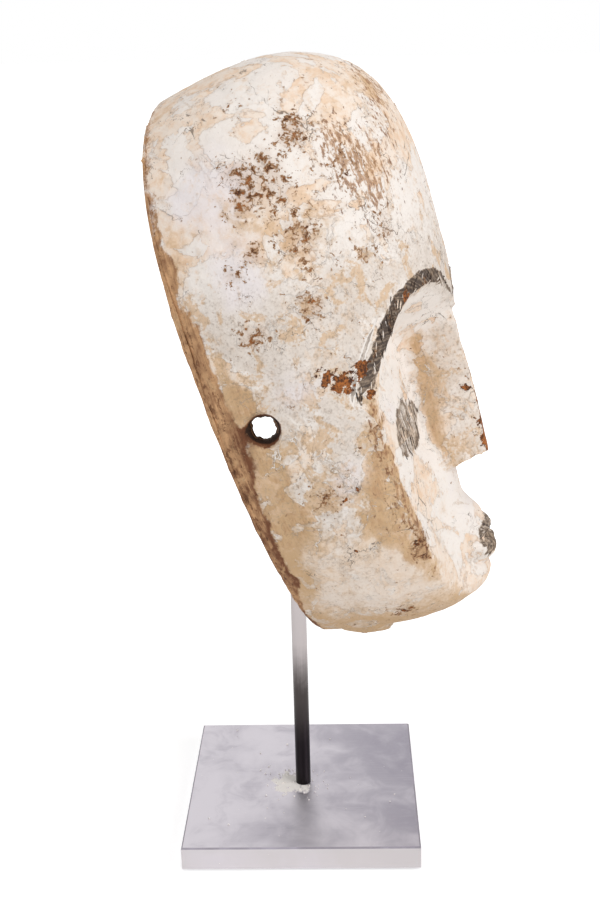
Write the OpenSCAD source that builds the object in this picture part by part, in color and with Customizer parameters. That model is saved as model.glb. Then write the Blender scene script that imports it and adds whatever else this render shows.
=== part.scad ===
// Whitened wooden mask on a steel display stand, in millimetres.
// The origin is the centre of the stand's underside, +Z is up and the mask faces -Y.

/* [Mask] */
// Width of the mask across the temples
mask_w = 170; // [140:1:200]
// Height of the crown above the mask's widest level
crown_h = 92; // [80:1:110]
// Height of the chin below the mask's widest level
chin_h = 184; // [160:1:205]
// Depth of the mask from its rim to the front of the forehead
mask_d = 102; // [92:1:116]
// Thickness of the wooden wall
wall = 9; // [7:0.5:12]
// Angle by which the mask leans back
lean = 16.3; // [12:0.1:21]
// Squareness of the rim's outline
outline_e = 2.3; // [2.1:0.05:2.6]
// Squareness of the dome at the crown
crown_e = 3.2; // [2.8:0.1:3.8]
// Squareness of the dome at the chin
chin_e = 4.7; // [4:0.1:5.5]
// Squareness of the dome at the sides
side_e = 2.2; // [2:0.1:2.6]
// Share by which the rim is drawn in
rim_draw = 0.02; // [0:0.005:0.04]
// Rise of the crown towards the front, for each millimetre of depth
crown_rise = 0.12; // [0:0.01:0.16]

/* [Face] */
// Depth of the sunken face at the cheeks' edges, from the rim
cheek_f = 68.5; // [64:0.5:72]
// Half width of the sunken face
cheek_x = 66; // [60:1:70]
// Rise of the sunken face from its edges to the nose
plane_rise = 5; // [2:0.5:8]
// Rise of the muzzle round the mouth
muzzle_rise = 7; // [3:0.5:9]
// Half width of the muzzle
muzzle_w = 24; // [18:1:30]
// Level of the brows' tops, from the mask's widest level
brow_u = -15.5; // [-22:0.5:-10]
// Distance of a brow's top from the middle of the face
brow_x = 26; // [22:1:30]
// Drop of a brow from its top to its outer end
brow_drop = 38; // [30:1:44]
// Drop of a brow from its top to the root of the nose
root_drop = 22.5; // [18:0.5:26]
// Height over which the brow's edge falls into the sunken face
brow_ramp = 22; // [16:1:28]
// Level of the nose's tip
nose_u = -107; // [-114:1:-98]
// Distance of the nose's ridge behind the dome
nose_set = 2; // [1:0.5:5]
// Half width of the nose at its root
root_x = 6; // [4:0.5:8]
// Half width of the nose at its base
nose_x = 15; // [11:0.5:18]
// Half width of the nose's ridge
ridge_x = 2.5; // [1.5:0.5:4]
// Level of the gap between the lips
mouth_u = -150; // [-155:1:-144]
// Half width of the lips
lip_x = 14; // [10:1:18]
// Height of one lip
lip_h = 12; // [8:1:14]
// Rise of the lips from the muzzle
lip_rise = 9; // [5:0.5:11]

/* [Cord holes] */
// Diameter of a cord hole
cord_d = 15; // [8:0.5:18]
// Distance of the cord holes from the rim
cord_f = 21.5; // [18:0.5:26]
// Level of the cord holes, from the mask's widest level
cord_u = -55; // [-70:1:-40]

/* [Base] */
// Side of the square base plate
plate_side = 120; // [100:1:150]
// Thickness of the base plate
plate_t = 12; // [10:0.5:16]
// Chamfer along the base plate's upper edges
plate_edge = 0.8; // [0.3:0.1:1.5]
// Thickness of the felt under the plate
felt_t = 1.5; // [1:0.1:3]
// Distance of the felt's edge from the plate's edge
felt_inset = 2; // [1:0.5:5]
// Turn of the base plate under the mask
base_turn = 12; // [0:1:30]

/* [Post] */
// Diameter of the post
post_d = 8; // [7:0.5:10]
// Diameter of the spigot at the post's foot
spigot_d = 6; // [5.5:0.1:6.5]
// Depth of the spigot in the plate
spigot_l = 7.5; // [5:0.5:8]
// Height of the mask's widest level above the table
rim_z = 285.6; // [240:0.5:330]
// Distance of the rim behind the post at that level
rim_back = 29; // [24:0.5:34]
// Height of the post's head above the crossbar
post_over = 5; // [3.5:0.5:6]

/* [Base screw] */
// Diameter of the screw's thread
screw_d = 4; // [3:0.1:4.2]
// Diameter of the screw's head
head_d = 8; // [7:0.5:9]
// Height of the screw's countersunk head
head_h = 2.2; // [1.8:0.1:2.6]
// Depth of the screw's thread in the post
screw_grip = 8; // [5:0.5:12]

/* [Crossbar and arm] */
// Diameter of the crossbar and of the face arm
rod_d = 4; // [3:0.5:5]
// Distance of a crossbar tip from the post
bar_x = 36; // [26:1:44]
// Diameter of a rubber tip
tip_d = 10; // [8:0.5:13]
// Depth of a rod's end in its rubber tip
tip_grip = 6; // [5:0.5:7]
// Level of the face arm, from the mask's widest level
arm_u = -76; // [-86:1:-66]
// Wall left behind the arm's end in the post
arm_stop = 1.5; // [1:0.1:2.5]

/* [Fits] */
// Radial clearance of the post's spigot in the plate
turn_fit = 0.05; // [0.02:0.01:0.1]
// Radial clearance of a rod or a thread in its hole
rod_fit = 0.03; // [0.01:0.01:0.08]
// Clearance of the screw in the plate
screw_fit = 0.3; // [0.2:0.05:0.4]
// Clearance of a rubber tip from the mask
seat_fit = 0.4; // [0.2:0.05:0.6]

/* [Hidden] */

// Rows of facets across the mask, outside and inside; the inner ones are twice as wide
outer_rows = 60;
inner_rows = outer_rows / 2;
// Level on the face at the middle of the facets' net
hub_u = -56;
// Share of the net that spans the face, and the share of the face's reach that it covers
net_share = 0.6;
net_reach = 0.8;
// How fast the facets close up towards the rim
net_close = 3.2;

// Shape of the brow, from its top to its outer end
brow_half = 42;
brow_e = 2.3;
// Softness of the ridge where the sunken face meets the dome
ridge_soft = 3;
// Level at which the muzzle starts, and the height over which it rises
muzzle_u = -90;
muzzle_fade = 24;
// Slope of the nose's underside
under_slope = 2.9;
// Distance of the nose's base line behind the sunken face
nose_sink = 4;
// Share of the depth over which the rim is drawn in
draw_share = 0.45;

plate_top = felt_t + plate_t;
eps = 0.01;
$fn = 96;

// Depth of the bare dome above the rim plane, for a wall that lies inset inside it
function dome(x, u, inset) = let(
  b = abs(u) / ((u >= 0 ? crown_h : chin_h) - inset),
  a = abs(x) / (mask_w / 2 - inset),
  r = pow(pow(a, outline_e) + pow(b, outline_e), 1 / outline_e),
  s = r > 0 ? pow(b / r, outline_e) : 0,
  n = side_e + ((u >= 0 ? crown_e : chin_e) - side_e) * s
) (mask_d - inset) * pow(max(0, 1 - pow(r, n)), 1 / n);

function smooth(t) = let(k = max(0, min(1, t))) k * k * (3 - 2 * k);
function soft_over(d, s) = (d + sqrt(d * d + s * s)) / 2;

// Level of the brow's edge at a distance from the middle of the face
function brow_at(x) = let(d = abs(x) - brow_x)
  brow_u - (d > 0 ? brow_drop * pow(d / brow_half, brow_e) : root_drop * pow(d / brow_x, 2));

// Depth of the sunken face, with the muzzle
function sunken(x, u) = cheek_f + plane_rise * max(0, 1 - abs(x) / cheek_x)
  + muzzle_rise * exp(-pow(x / muzzle_w, 2)) * smooth((muzzle_u - u) / muzzle_fade);

// Dome with the face cut back under the brows
function carved(x, u, inset) = let(
  d = dome(x, u, inset),
  t = max(0, min(1, (brow_at(x) + inset - u) / brow_ramp))
) d - soft_over(d - sunken(x, u) + inset, ridge_soft) * (smooth(t) + 1 - pow(1 - t, 2)) / 2;

// Nose left standing: a ridge with flat sides and a flat underside
function nose(x, u) = let(
  root_u = brow_u - root_drop,
  t = max(0, min(1, (root_u - u) / (root_u - nose_u))),
  ridge = dome(0, u, 0) - nose_set,
  low = sunken(x, u) - nose_sink,
  half = root_x + (nose_x - root_x) * t,
  side = (abs(x) - ridge_x) / (half - ridge_x)
) min(ridge - (ridge - low) * max(0, side), ridge - under_slope * max(0, nose_u - u));

// Height of two lips with a gap between them
function lips(x, u) = let(
  v = abs(abs(u - mouth_u) - lip_h / 2) / (lip_h / 2),
  w = abs(x) / lip_x
) lip_rise * sqrt(max(0, 1 - v * v * v) * max(0, 1 - w * w * w));

function outside(x, u) = max(carved(x, u, 0) + lips(x, u), min(nose(x, u), dome(x, u, 0)));

// The rim drawn in, and the crown rising towards the front
function draw_at(f) = 1 - rim_draw * pow(1 - max(0, min(1, f / (draw_share * mask_d))), 2);
function rise_at(f, u) = u > 0 ? 1 + crown_rise * f / crown_h : 1;

// A point of the mask (across, forward from the rim, up the rim) in the part's frame
function placed(x, f, u) = [
  x,
  rim_back + u * sin(lean) - f * cos(lean),
  rim_z + u * cos(lean) + f * sin(lean)
];
function shaped(x, f, u) = placed(x * draw_at(f), f, u * draw_at(f) * rise_at(f, u));

// The rim's outline, and a net of points over the face that becomes the outline at its edge
function spow(v, e) = sign(v) * pow(abs(v), e);
function outline(a, inset) = [
  (mask_w / 2 - inset) * spow(cos(a), 2 / outline_e),
  ((sin(a) >= 0 ? crown_h : chin_h) - inset) * spow(sin(a), 2 / outline_e)
];
function ring_at(k) = k < net_share ? k * net_reach / net_share
  : net_reach + (1 - net_reach) * (1 - pow(1 - (k - net_share) / (1 - net_share), net_close));
function net(s, t, inset) = let(
  k = max(abs(s), abs(t)),
  a = k == 0 ? 0 : abs(s) >= abs(t) ? 45 * t / s + (s < 0 ? 180 : 0) : 90 * sign(t) - 45 * s / t,
  b = outline(a, inset),
  up = outline(t < 0 ? -90 : 90, inset).y - hub_u,
  r = ring_at(k),
  flat = k == 0 ? [0, 0] : [s / k * (mask_w / 2 - inset), abs(t) / k * up] * r,
  round = [b.x, b.y - hub_u] * r,
  w = smooth(k / net_share)
) [0, hub_u] + flat * (1 - w) + round * w;
function outer_point(s, t) = let(p = net(s, t, 0))
  shaped(p.x, max(abs(s), abs(t)) < 1 ? outside(p.x, p.y) : 0, p.y);
function inner_point(s, t) = let(p = net(s, t, wall))
  shaped(p.x, max(abs(s), abs(t)) < 1 ? carved(p.x, p.y, wall) : 0, p.y);

// Room in front of a point inside the mask, up to the back of the carved face
function room(p) = let(
  y = p.y - rim_back,
  z = p.z - rim_z,
  f = z * sin(lean) - y * cos(lean),
  v = z * cos(lean) + y * sin(lean),
  u = v / rise_at(f, v) / draw_at(f)
) carved(p.x / draw_at(f), u, wall) - f;

// Directions over a ball, and the least room round a ball
ball = [for (a = [0:30:330]) for (b = [-75:15:90]) [cos(a) * cos(b), sin(a) * cos(b), sin(b)]];
function ball_room(p, r) = min([for (d = ball) room(p + r * d)]);

// How far a ball goes along a line before it meets the mask's inner wall
function reach(p, d, r, lo, hi, n) = let(m = (lo + hi) / 2)
  n == 0 ? lo : ball_room(p + m * d, r) > 0 ? reach(p, d, r, m, hi, n - 1) : reach(p, d, r, lo, m, n - 1);

tip_room = tip_d / 2 + seat_fit;
bar_z = rim_z + reach([bar_x, 0, rim_z], [0, 0, 1], tip_room, 0, crown_h + mask_d, 24);
post_top = bar_z + post_over;

forward = [0, -cos(lean), sin(lean)];
arm_z = rim_z + (arm_u + rim_back * sin(lean)) / cos(lean);
arm_foot = [0, 0, arm_z];
arm_l = reach(arm_foot, forward, tip_room, 0, mask_d, 24);
arm_start = arm_stop - post_d / 2;

// A rod or a hole that starts at a distance along the face arm's axis
module along_arm(start) {
  translate(arm_foot)
    rotate([90 - lean, 0, 0])
      translate([0, 0, start])
        children();
}

// Facets of a square net of rows by rows cells, each cell split along its shorter diagonal
function facets(points, rows, first, turned) = [
  for (j = [0:rows - 1]) for (i = [0:rows - 1]) let(
    a = j * (rows + 1) + i,
    b = a + 1,
    d = a + rows + 1,
    c = d + 1,
    longer = norm(points[a] - points[c]) - norm(points[b] - points[d]),
    rising = abs(longer) < eps ? i < rows / 2 : longer < 0,
    two = rising ? [[a, d, c], [a, c, b]] : [[a, d, b], [b, d, c]]
  ) each [for (q = two) [for (k = turned ? [2, 1, 0] : [0, 1, 2]) first + q[k]]]
];

// Numbers of the points round the edge of a net, anticlockwise from its first corner
function edge(rows, first) = let(n = rows + 1) [
  for (i = [0:rows - 1]) first + i,
  for (i = [0:rows - 1]) first + i * n + rows,
  for (i = [0:rows - 1]) first + n * n - 1 - i,
  for (i = [0:rows - 1]) first + (rows - i) * n
];

// Flat rim between the outer net's edge and the inner one, two outer steps to one inner step
function rim_facets(outer, inner) = let(m = len(inner)) [
  for (i = [0:m - 1]) let(
    p = outer[2 * i],
    q = outer[2 * i + 1],
    r = outer[(2 * i + 2) % (2 * m)],
    a = inner[i],
    b = inner[(i + 1) % m]
  ) each [[p, q, a], [a, q, b], [q, r, b]]
];

module mask_solid() {
  outer_step = 2 / outer_rows;
  inner_step = 2 / inner_rows;
  outer = [for (j = [0:outer_rows]) for (i = [0:outer_rows])
    outer_point(i * outer_step - 1, j * outer_step - 1)];
  inner = [for (j = [0:inner_rows]) for (i = [0:inner_rows])
    inner_point(i * inner_step - 1, j * inner_step - 1)];
  first = len(outer);
  polyhedron(concat(outer, inner), concat(
    facets(outer, outer_rows, 0, false),
    facets(inner, inner_rows, first, true),
    rim_facets(edge(outer_rows, 0), edge(inner_rows, first))
  ));
}

module mask() {
  color("antiquewhite")
    difference() {
      mask_solid();
      for (side = [-1, 1])
        translate(placed(side * (mask_w / 2 - 2 * wall), cord_f, cord_u))
          rotate([0, side * 90, 0])
            cylinder(d = cord_d, h = 4 * wall);
    }
}

module base_plate() {
  seat = plate_top - spigot_l - screw_fit;
  color("lightslategray")
    rotate([0, 0, base_turn])
      difference() {
        translate([-plate_side / 2, -plate_side / 2, felt_t])
          cube([plate_side, plate_side, plate_t]);
        for (a = [0:90:270])
          rotate([0, 0, a])
            translate([plate_side / 2, 0, plate_top])
              rotate([0, 45, 0])
                cube([plate_edge * sqrt(2), 2 * plate_side, plate_edge * sqrt(2)], center = true);
        translate([0, 0, seat])
          cylinder(d = spigot_d + 2 * turn_fit, h = plate_t);
        translate([0, 0, felt_t - eps])
          cylinder(d = screw_d + 2 * screw_fit, h = plate_t);
        translate([0, 0, felt_t - eps])
          cylinder(d1 = head_d + 2 * screw_fit, d2 = screw_d + 2 * screw_fit, h = head_h + screw_fit);
      }
}

module base_felt() {
  side = plate_side - 2 * felt_inset;
  color("dimgray")
    rotate([0, 0, base_turn])
      translate([-side / 2, -side / 2, 0])
        cube([side, side, felt_t]);
}

module post() {
  foot = plate_top - spigot_l;
  color("silver")
    difference() {
      union() {
        translate([0, 0, plate_top])
          cylinder(d = post_d, h = post_top - plate_top);
        translate([0, 0, foot])
          cylinder(d = spigot_d, h = spigot_l + eps);
      }
      translate([0, 0, foot - eps])
        cylinder(d = screw_d + 2 * rod_fit, h = screw_grip + 1);
      translate([-post_d, 0, bar_z])
        rotate([0, 90, 0])
          cylinder(d = rod_d + 2 * rod_fit, h = 2 * post_d);
      along_arm(arm_start)
        cylinder(d = rod_d + 2 * rod_fit, h = 2 * post_d);
    }
}

module base_screw() {
  head_z = felt_t + screw_fit;
  foot = plate_top - spigot_l;
  color("gray") {
    translate([0, 0, head_z])
      cylinder(d1 = head_d - 2 * screw_fit, d2 = screw_d, h = head_h - screw_fit);
    translate([0, 0, head_z + head_h - screw_fit - eps])
      cylinder(d = screw_d, h = foot + screw_grip - head_z - head_h + screw_fit);
  }
}

module crossbar() {
  half = bar_x - tip_d / 2 + tip_grip;
  color("silver")
    translate([-half, 0, bar_z])
      rotate([0, 90, 0])
        cylinder(d = rod_d, h = 2 * half);
}

// A rubber ball with a blind hole for the end of its rod
module tip() {
  difference() {
    sphere(d = tip_d);
    translate([0, 0, -tip_d])
      cylinder(d = rod_d + 2 * rod_fit, h = tip_d / 2 + tip_grip + rod_fit);
  }
}

module crossbar_tip(side) {
  color("darkslategray")
    translate([side * bar_x, 0, bar_z])
      rotate([0, side * 90, 0])
        tip();
}

module crossbar_tip_left() {
  crossbar_tip(1);
}

module crossbar_tip_right() {
  crossbar_tip(-1);
}

module face_arm() {
  color("silver")
    along_arm(arm_start)
      cylinder(d = rod_d, h = arm_l - arm_start - tip_d / 2 + tip_grip);
}

module face_arm_tip() {
  color("darkslategray")
    along_arm(arm_l)
      tip();
}

mask();
base_plate();
base_felt();
post();
base_screw();
crossbar();
crossbar_tip_left();
crossbar_tip_right();
face_arm();
face_arm_tip();
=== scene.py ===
"""A clay-whitened wooden mask on a steel display stand, dressed round its packed construction."""

import math
from types import SimpleNamespace
from typing import NamedTuple

import bpy
import numpy as np
from bpy.props import FloatProperty, FloatVectorProperty, IntProperty, PointerProperty
from mathutils import Matrix, Vector, noise


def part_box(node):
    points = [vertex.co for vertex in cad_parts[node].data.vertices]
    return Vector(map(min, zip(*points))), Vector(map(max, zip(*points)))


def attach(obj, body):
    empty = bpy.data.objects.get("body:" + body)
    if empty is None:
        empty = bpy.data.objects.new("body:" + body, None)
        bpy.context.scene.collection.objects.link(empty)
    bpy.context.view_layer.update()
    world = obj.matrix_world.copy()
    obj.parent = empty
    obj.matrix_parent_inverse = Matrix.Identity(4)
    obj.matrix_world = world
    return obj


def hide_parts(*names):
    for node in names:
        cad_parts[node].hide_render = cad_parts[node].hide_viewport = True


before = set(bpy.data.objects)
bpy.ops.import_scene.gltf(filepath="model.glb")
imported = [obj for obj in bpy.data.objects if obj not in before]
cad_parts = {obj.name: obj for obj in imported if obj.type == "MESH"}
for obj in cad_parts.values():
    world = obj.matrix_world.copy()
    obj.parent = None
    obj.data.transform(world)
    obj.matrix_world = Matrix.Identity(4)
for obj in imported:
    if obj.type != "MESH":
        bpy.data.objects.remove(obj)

bl_info = {
    "name": "Whitened Mask on a Stand",
    "version": (1, 0, 0),
    "blender": (4, 5, 0),
    "location": "View3D > Sidebar > Mask",
    "description": "Builds a clay-whitened wooden mask and the steel stand that carries it",
    "category": "Add Mesh",
}

MM = 0.001


def linear(code):
    """An sRGB hex colour as the linear red, green and blue that shaders take."""
    parts = [int(code[i:i + 2], 16) / 255 for i in (1, 3, 5)]
    return tuple(c / 12.92 if c <= 0.04045 else ((c + 0.055) / 1.055) ** 2.4 for c in parts)


def length(name, mm, text):
    """A size that a user may change, given in millimetres and kept in metres."""
    return FloatProperty(name=name, description=text, default=mm * MM, unit="LENGTH", precision=4)


def share(name, value, text):
    """A plain number that a user may change."""
    return FloatProperty(name=name, description=text, default=value)


def angle(name, degrees, text):
    """An angle that a user may change, given in degrees."""
    return FloatProperty(name=name, description=text, default=math.radians(degrees), subtype="ANGLE")


def colour(name, code, text):
    """A colour that a user may change, given as an sRGB hex value."""
    return FloatVectorProperty(
        name=name, description=text, default=linear(code), subtype="COLOR", min=0, max=1)


class MaskSizes(bpy.types.PropertyGroup):
    """The carving's sizes, across, forward from the rim and up the rim."""

    width: length("Width", 170, "Width of the mask across the temples")
    crown: length("Crown", 92, "Height of the crown above the widest level")
    chin: length("Chin", 184, "Height of the chin below the widest level")
    depth: length("Depth", 102, "Depth from the rim to the front of the forehead")
    wall: length("Wall", 9, "Thickness of the wooden wall")
    lean: angle("Lean", 16.3, "Angle by which the mask leans back")
    rim_up: length("Rim height", 285.6, "Height of the widest level above the table")
    rim_back: length("Rim back", 29, "Distance of the rim behind the post at that level")
    outline_e: share("Outline squareness", 2.3, "Squareness of the rim's outline")
    crown_e: share("Crown squareness", 3.2, "Squareness of the dome at the crown")
    chin_e: share("Chin squareness", 4.7, "Squareness of the dome at the chin")
    side_e: share("Side squareness", 2.2, "Squareness of the dome at the sides")
    rim_draw: share("Rim draw", 0.02, "Share by which the rim is drawn in")
    draw_share: share("Draw share", 0.45, "Share of the depth over which the rim is drawn in")
    crown_rise: share("Crown rise", 0.12, "Rise of the crown towards the front, for each unit of depth")
    cheek_f: length("Cheek depth", 68.5, "Depth of the sunken face at the cheeks, from the rim")
    cheek_x: length("Cheek half width", 66, "Half width of the sunken face")
    plane_rise: length("Plane rise", 5, "Rise of the sunken face from its edges to the nose")
    muzzle_rise: length("Muzzle rise", 7, "Rise of the muzzle round the mouth")
    muzzle_w: length("Muzzle half width", 24, "Half width of the muzzle")
    muzzle_u: length("Muzzle level", -90, "Level at which the muzzle starts")
    muzzle_fade: length("Muzzle fade", 24, "Height over which the muzzle rises")
    brow_u: length("Brow level", -20, "Level of the brows' tops")
    brow_x: length("Brow distance", 33, "Distance of a brow's top from the middle of the face")
    brow_drop: length("Brow drop", 36, "Drop of a brow from its top to its outer end")
    brow_half: length("Brow reach", 35, "Distance from a brow's top to its outer end")
    brow_e: share("Brow curve", 2.4, "Power of the brow's curve")
    root_drop: length("Root drop", 18, "Drop of a brow from its top to the root of the nose")
    brow_ramp: length("Brow ramp", 22, "Height over which the brow's edge falls into the face")
    ridge_soft: length("Ridge softness", 3, "Softness of the ridge where the face meets the dome")
    nose_u: length("Nose level", -110, "Level of the nose's tip")
    nose_set: length("Nose set", 2, "Distance of the nose's ridge behind the dome")
    nose_sink: length("Nose sink", 4, "Distance of the nose's base line behind the face")
    root_x: length("Nose root", 6, "Half width of the nose at its root")
    nose_x: length("Nose base", 15, "Half width of the nose at its base")
    ridge_x: length("Nose ridge", 2.5, "Half width of the nose's ridge")
    under_slope: share("Nose underside", 9.0, "Slope of the nose's underside")
    mouth_u: length("Mouth level", -150, "Level of the gap between the lips")
    lip_x: length("Lip half width", 17, "Half width of the lips")
    lip_h: length("Lip height", 12, "Height of one lip")
    lip_rise: length("Lip rise", 10.1, "Rise of the lips from the muzzle")
    lip_gap: share("Lip gap", 0.3, "Share of the lips' height that is lost in the gap between them")
    lip_lump: length("Lip lumps", 1.4, "Depth of the hollows in the worn lips")
    lip_shoulder: length("Lip shoulder", 6.5, "Rise of the muzzle just above the lips")
    cord_d: length("Cord hole", 15, "Diameter of a cord hole")
    cord_f: length("Cord hole depth", 21.5, "Distance of the cord holes from the rim")
    cord_u: length("Cord hole level", -55, "Level of the cord holes")
    cord_flare: length("Cord hole wear", 2.4, "Widening of a cord hole where cords have rubbed its edges")
    cord_slant: length("Cord hole slant", 2, "Distance by which a cord hole runs back towards the rim")
    rim_round: length("Rim wear", 1.4, "Rounding of the rim's worn edges")
    carve: length("Carving marks", 1.1, "Depth of the blade's shallow marks outside")
    carve_hollow: length("Hollowing marks", 1.6, "Depth of the blade's marks in the hollow")
    chip: length("Chin chips", 3, "Depth of the chips along the chin's edge")
    break_f: length("Chin break", 31, "Distance from the rim at which the chin's lower edge has broken off")
    break_in: length("Chin break depth", 2.4, "Depth of that break")
    chin_swell: length("Chin swelling", 4.2, "Height of the swellings behind the break and under the lips")
    front_swell: length("Forehead swelling", 1.2, "Height of the swelling on the front of the forehead")
    gouge: length("Gouges", 0.5, "Depth of the spots where coat and wood have come off")
    eye_x: length("Eye distance", 31, "Distance of an eye from the middle of the face")
    eye_u: length("Eye level", -82, "Level of the eyes")
    eye_half: length("Eye half length", 22, "Half length of an eye")
    eye_tall: length("Eye half height", 14.5, "Half height of an eye")
    eye_tilt: share("Eye slope", 0.1, "Drop of an eye towards the temple, for each unit across")
    band_w: length("Brow band", 8.5, "Width of the charcoal band along a brow")
    outer_rows: IntProperty(name="Outer rows", description="Rows of faces across the outside", default=260)


class ClayColours(bpy.types.PropertyGroup):
    """Colours of the kaolin coat, the wood under it and the charcoal on it."""

    cream: colour("Cream clay", "#f3e4d6", "Kaolin as it soaked into the wood")
    peach: colour("Peach clay", "#edcfb3", "Kaolin where the wood tints it")
    white: colour("White clay", "#f4ece5", "Kaolin where the coat is thick")
    lilac: colour("Lilac clay", "#eee6e7", "Kaolin where the coat is thick and shiny from rubbing")
    # Also shows painted shade in the valleys beside the nose and on its flanks
    ochre: colour("Ochre stain", "#d2b088", "Kaolin stained by the wood and by handling")
    # Also a painted shade on the nose's flanks
    beige: colour("Beige dust", "#f0dfcf", "Kaolin on the chin, with dust rubbed into it")
    # Also a painted shade on the nose's flanks
    film: colour("Grey film", "#dacdc1", "Kaolin rubbed thin over the cheeks")
    # Also the colour of painted shadows: outside flaked edges, in the painted groove and beside wrinkles
    crack_dirt_and_shade: colour("Crack", "#85766a", "Dirt in the hairline cracks")
    halo: colour("Halo", "#b98f6a", "Brown that has spread into the clay round the worn spots")
    wood_light: colour("Light wood", "#b06a34", "Fresh face of the wood in worn spots")
    wood_dark: colour("Dark wood", "#4a2c1c", "Aged face of the wood")
    rim_light: colour("Rim wood light", "#d6a97d", "Handled wood along the rim")
    rim_dark: colour("Rim wood dark", "#70452c", "Handled wood in the grain and round the cord holes")
    # Also the painted shade inside the cord holes
    soot: colour("Soot", "#24160e", "Wood in the cord holes, black from cords and hands")
    charcoal: colour("Charcoal", "#3d2f28", "Charcoal rubbed on the brows, eyes and lips")
    ash: colour("Ash", "#9a8672", "Charcoal rubbed thin")
    stroke: colour("Charcoal stroke", "#2c211c", "A single stroke of charcoal")
    hollow_light: colour("Hollow light", "#8a6546", "Bare wood in the hollow")
    hollow_dark: colour("Hollow dark", "#3a271b", "Smoke and sweat on the wood in the hollow")


class StandSettings(bpy.types.PropertyGroup):
    """Sizes and colours of the stand's dressed pieces."""

    base_turn: angle("Base turn", 12, "Turn of the base plate under the mask")
    plate_side: length("Plate side", 120, "Side of the square plate")
    plate_bevel: length("Plate bevel", 0.8, "Width of the bevel round the plate's top")
    felt_side: length("Felt side", 116, "Side of the square felt")
    felt_waver: length("Felt edge", 0.5, "How far the felt's cut edge wavers")
    tip_seam: length("Tip seam", 0.12, "Height of the moulding line round a rubber tip")
    tip_grip: length("Tip grip", 6, "Depth of a rod's end in its rubber tip")
    # Heights at which the post's colour runs from near black at the plate to bright above
    post_dark_height: length("Finish whole", 36, "Height up to which the post's black finish is whole")
    post_middle_height: length("Finish low", 68, "Height up to which the post's black finish is only rubbed")
    post_bright_height: length("Finish high", 100, "Height above which the post is bare")
    dust_reach: length("Dust reach", 13, "Reach of the clay dust round the post's foot")
    steel: colour("Plate steel", "#d3ced4", "Waxed steel of the plate")
    # Also the painted shade that darkens the plate towards one side
    steel_smudges_and_shade: colour("Plate smudges", "#9b96a1", "Oiled smudges on the plate")
    # Painted dark reflection along the plate's bevel
    steel_bevel_shade: colour("Plate edge", "#77727a", "Oil left along the plate's bevel")
    steel_sawn: colour("Plate sides", "#cac5c6", "Sawn sides of the plate")
    dust: colour("Clay dust", "#fdf8f3", "Clay that fell on the plate")
    # Post tones, from near black at the plate to bright above
    post_bright: colour("Post bright", "#ada6a6", "Post where it is bare")
    post_dark: colour("Post dark", "#262224", "Post where its black finish is left")
    post_middle: colour("Post rubbed", "#464140", "Post where its black finish is rubbed")
    rubber: colour("Rubber", "#232528", "Black rubber of the tips")
    rubber_dust: colour("Rubber dust", "#54534f", "Dust on the rubber")
    felt: colour("Felt", "#3f3f43", "Grey wool felt")
    felt_pale: colour("Felt fibres", "#5d5c60", "Paler fibres in the felt")


class StageSettings(bpy.types.PropertyGroup):
    """Where the camera stands and how the studio is lit."""

    camera_at: FloatVectorProperty(
        name="Camera", description="Place of the camera", default=(-0.5953, -0.1515, 0.4075),
        subtype="TRANSLATION", unit="LENGTH")
    heading: angle("Heading", -76.0, "Turn of the camera about the upright axis")
    pitch: angle("Pitch", 18.46, "Angle by which the camera looks down")
    roll: angle("Roll", -1.56, "Tilt of the camera about its own axis")
    lens: share("Lens", 52.23, "Focal length in millimetres on a 36 mm long side")
    ambient: share("Ambient", 0.36, "Light of the white room")
    key: share("Key", 13.0, "Power of the large soft lamp in front of the face")
    fill: share("Fill", 4.5, "Power of the soft lamp beside the camera")
    top: share("Top", 5.5, "Power of the soft lamp above")
    aim: length("Aim", 240, "Height at which the lamps look at the mask")
    floor_tone: colour("Floor", "#f2f2f2", "Pale floor")
    floor_lift: share("Floor lift", 0.5, "White that the floor adds for the camera beside the stand")


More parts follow.
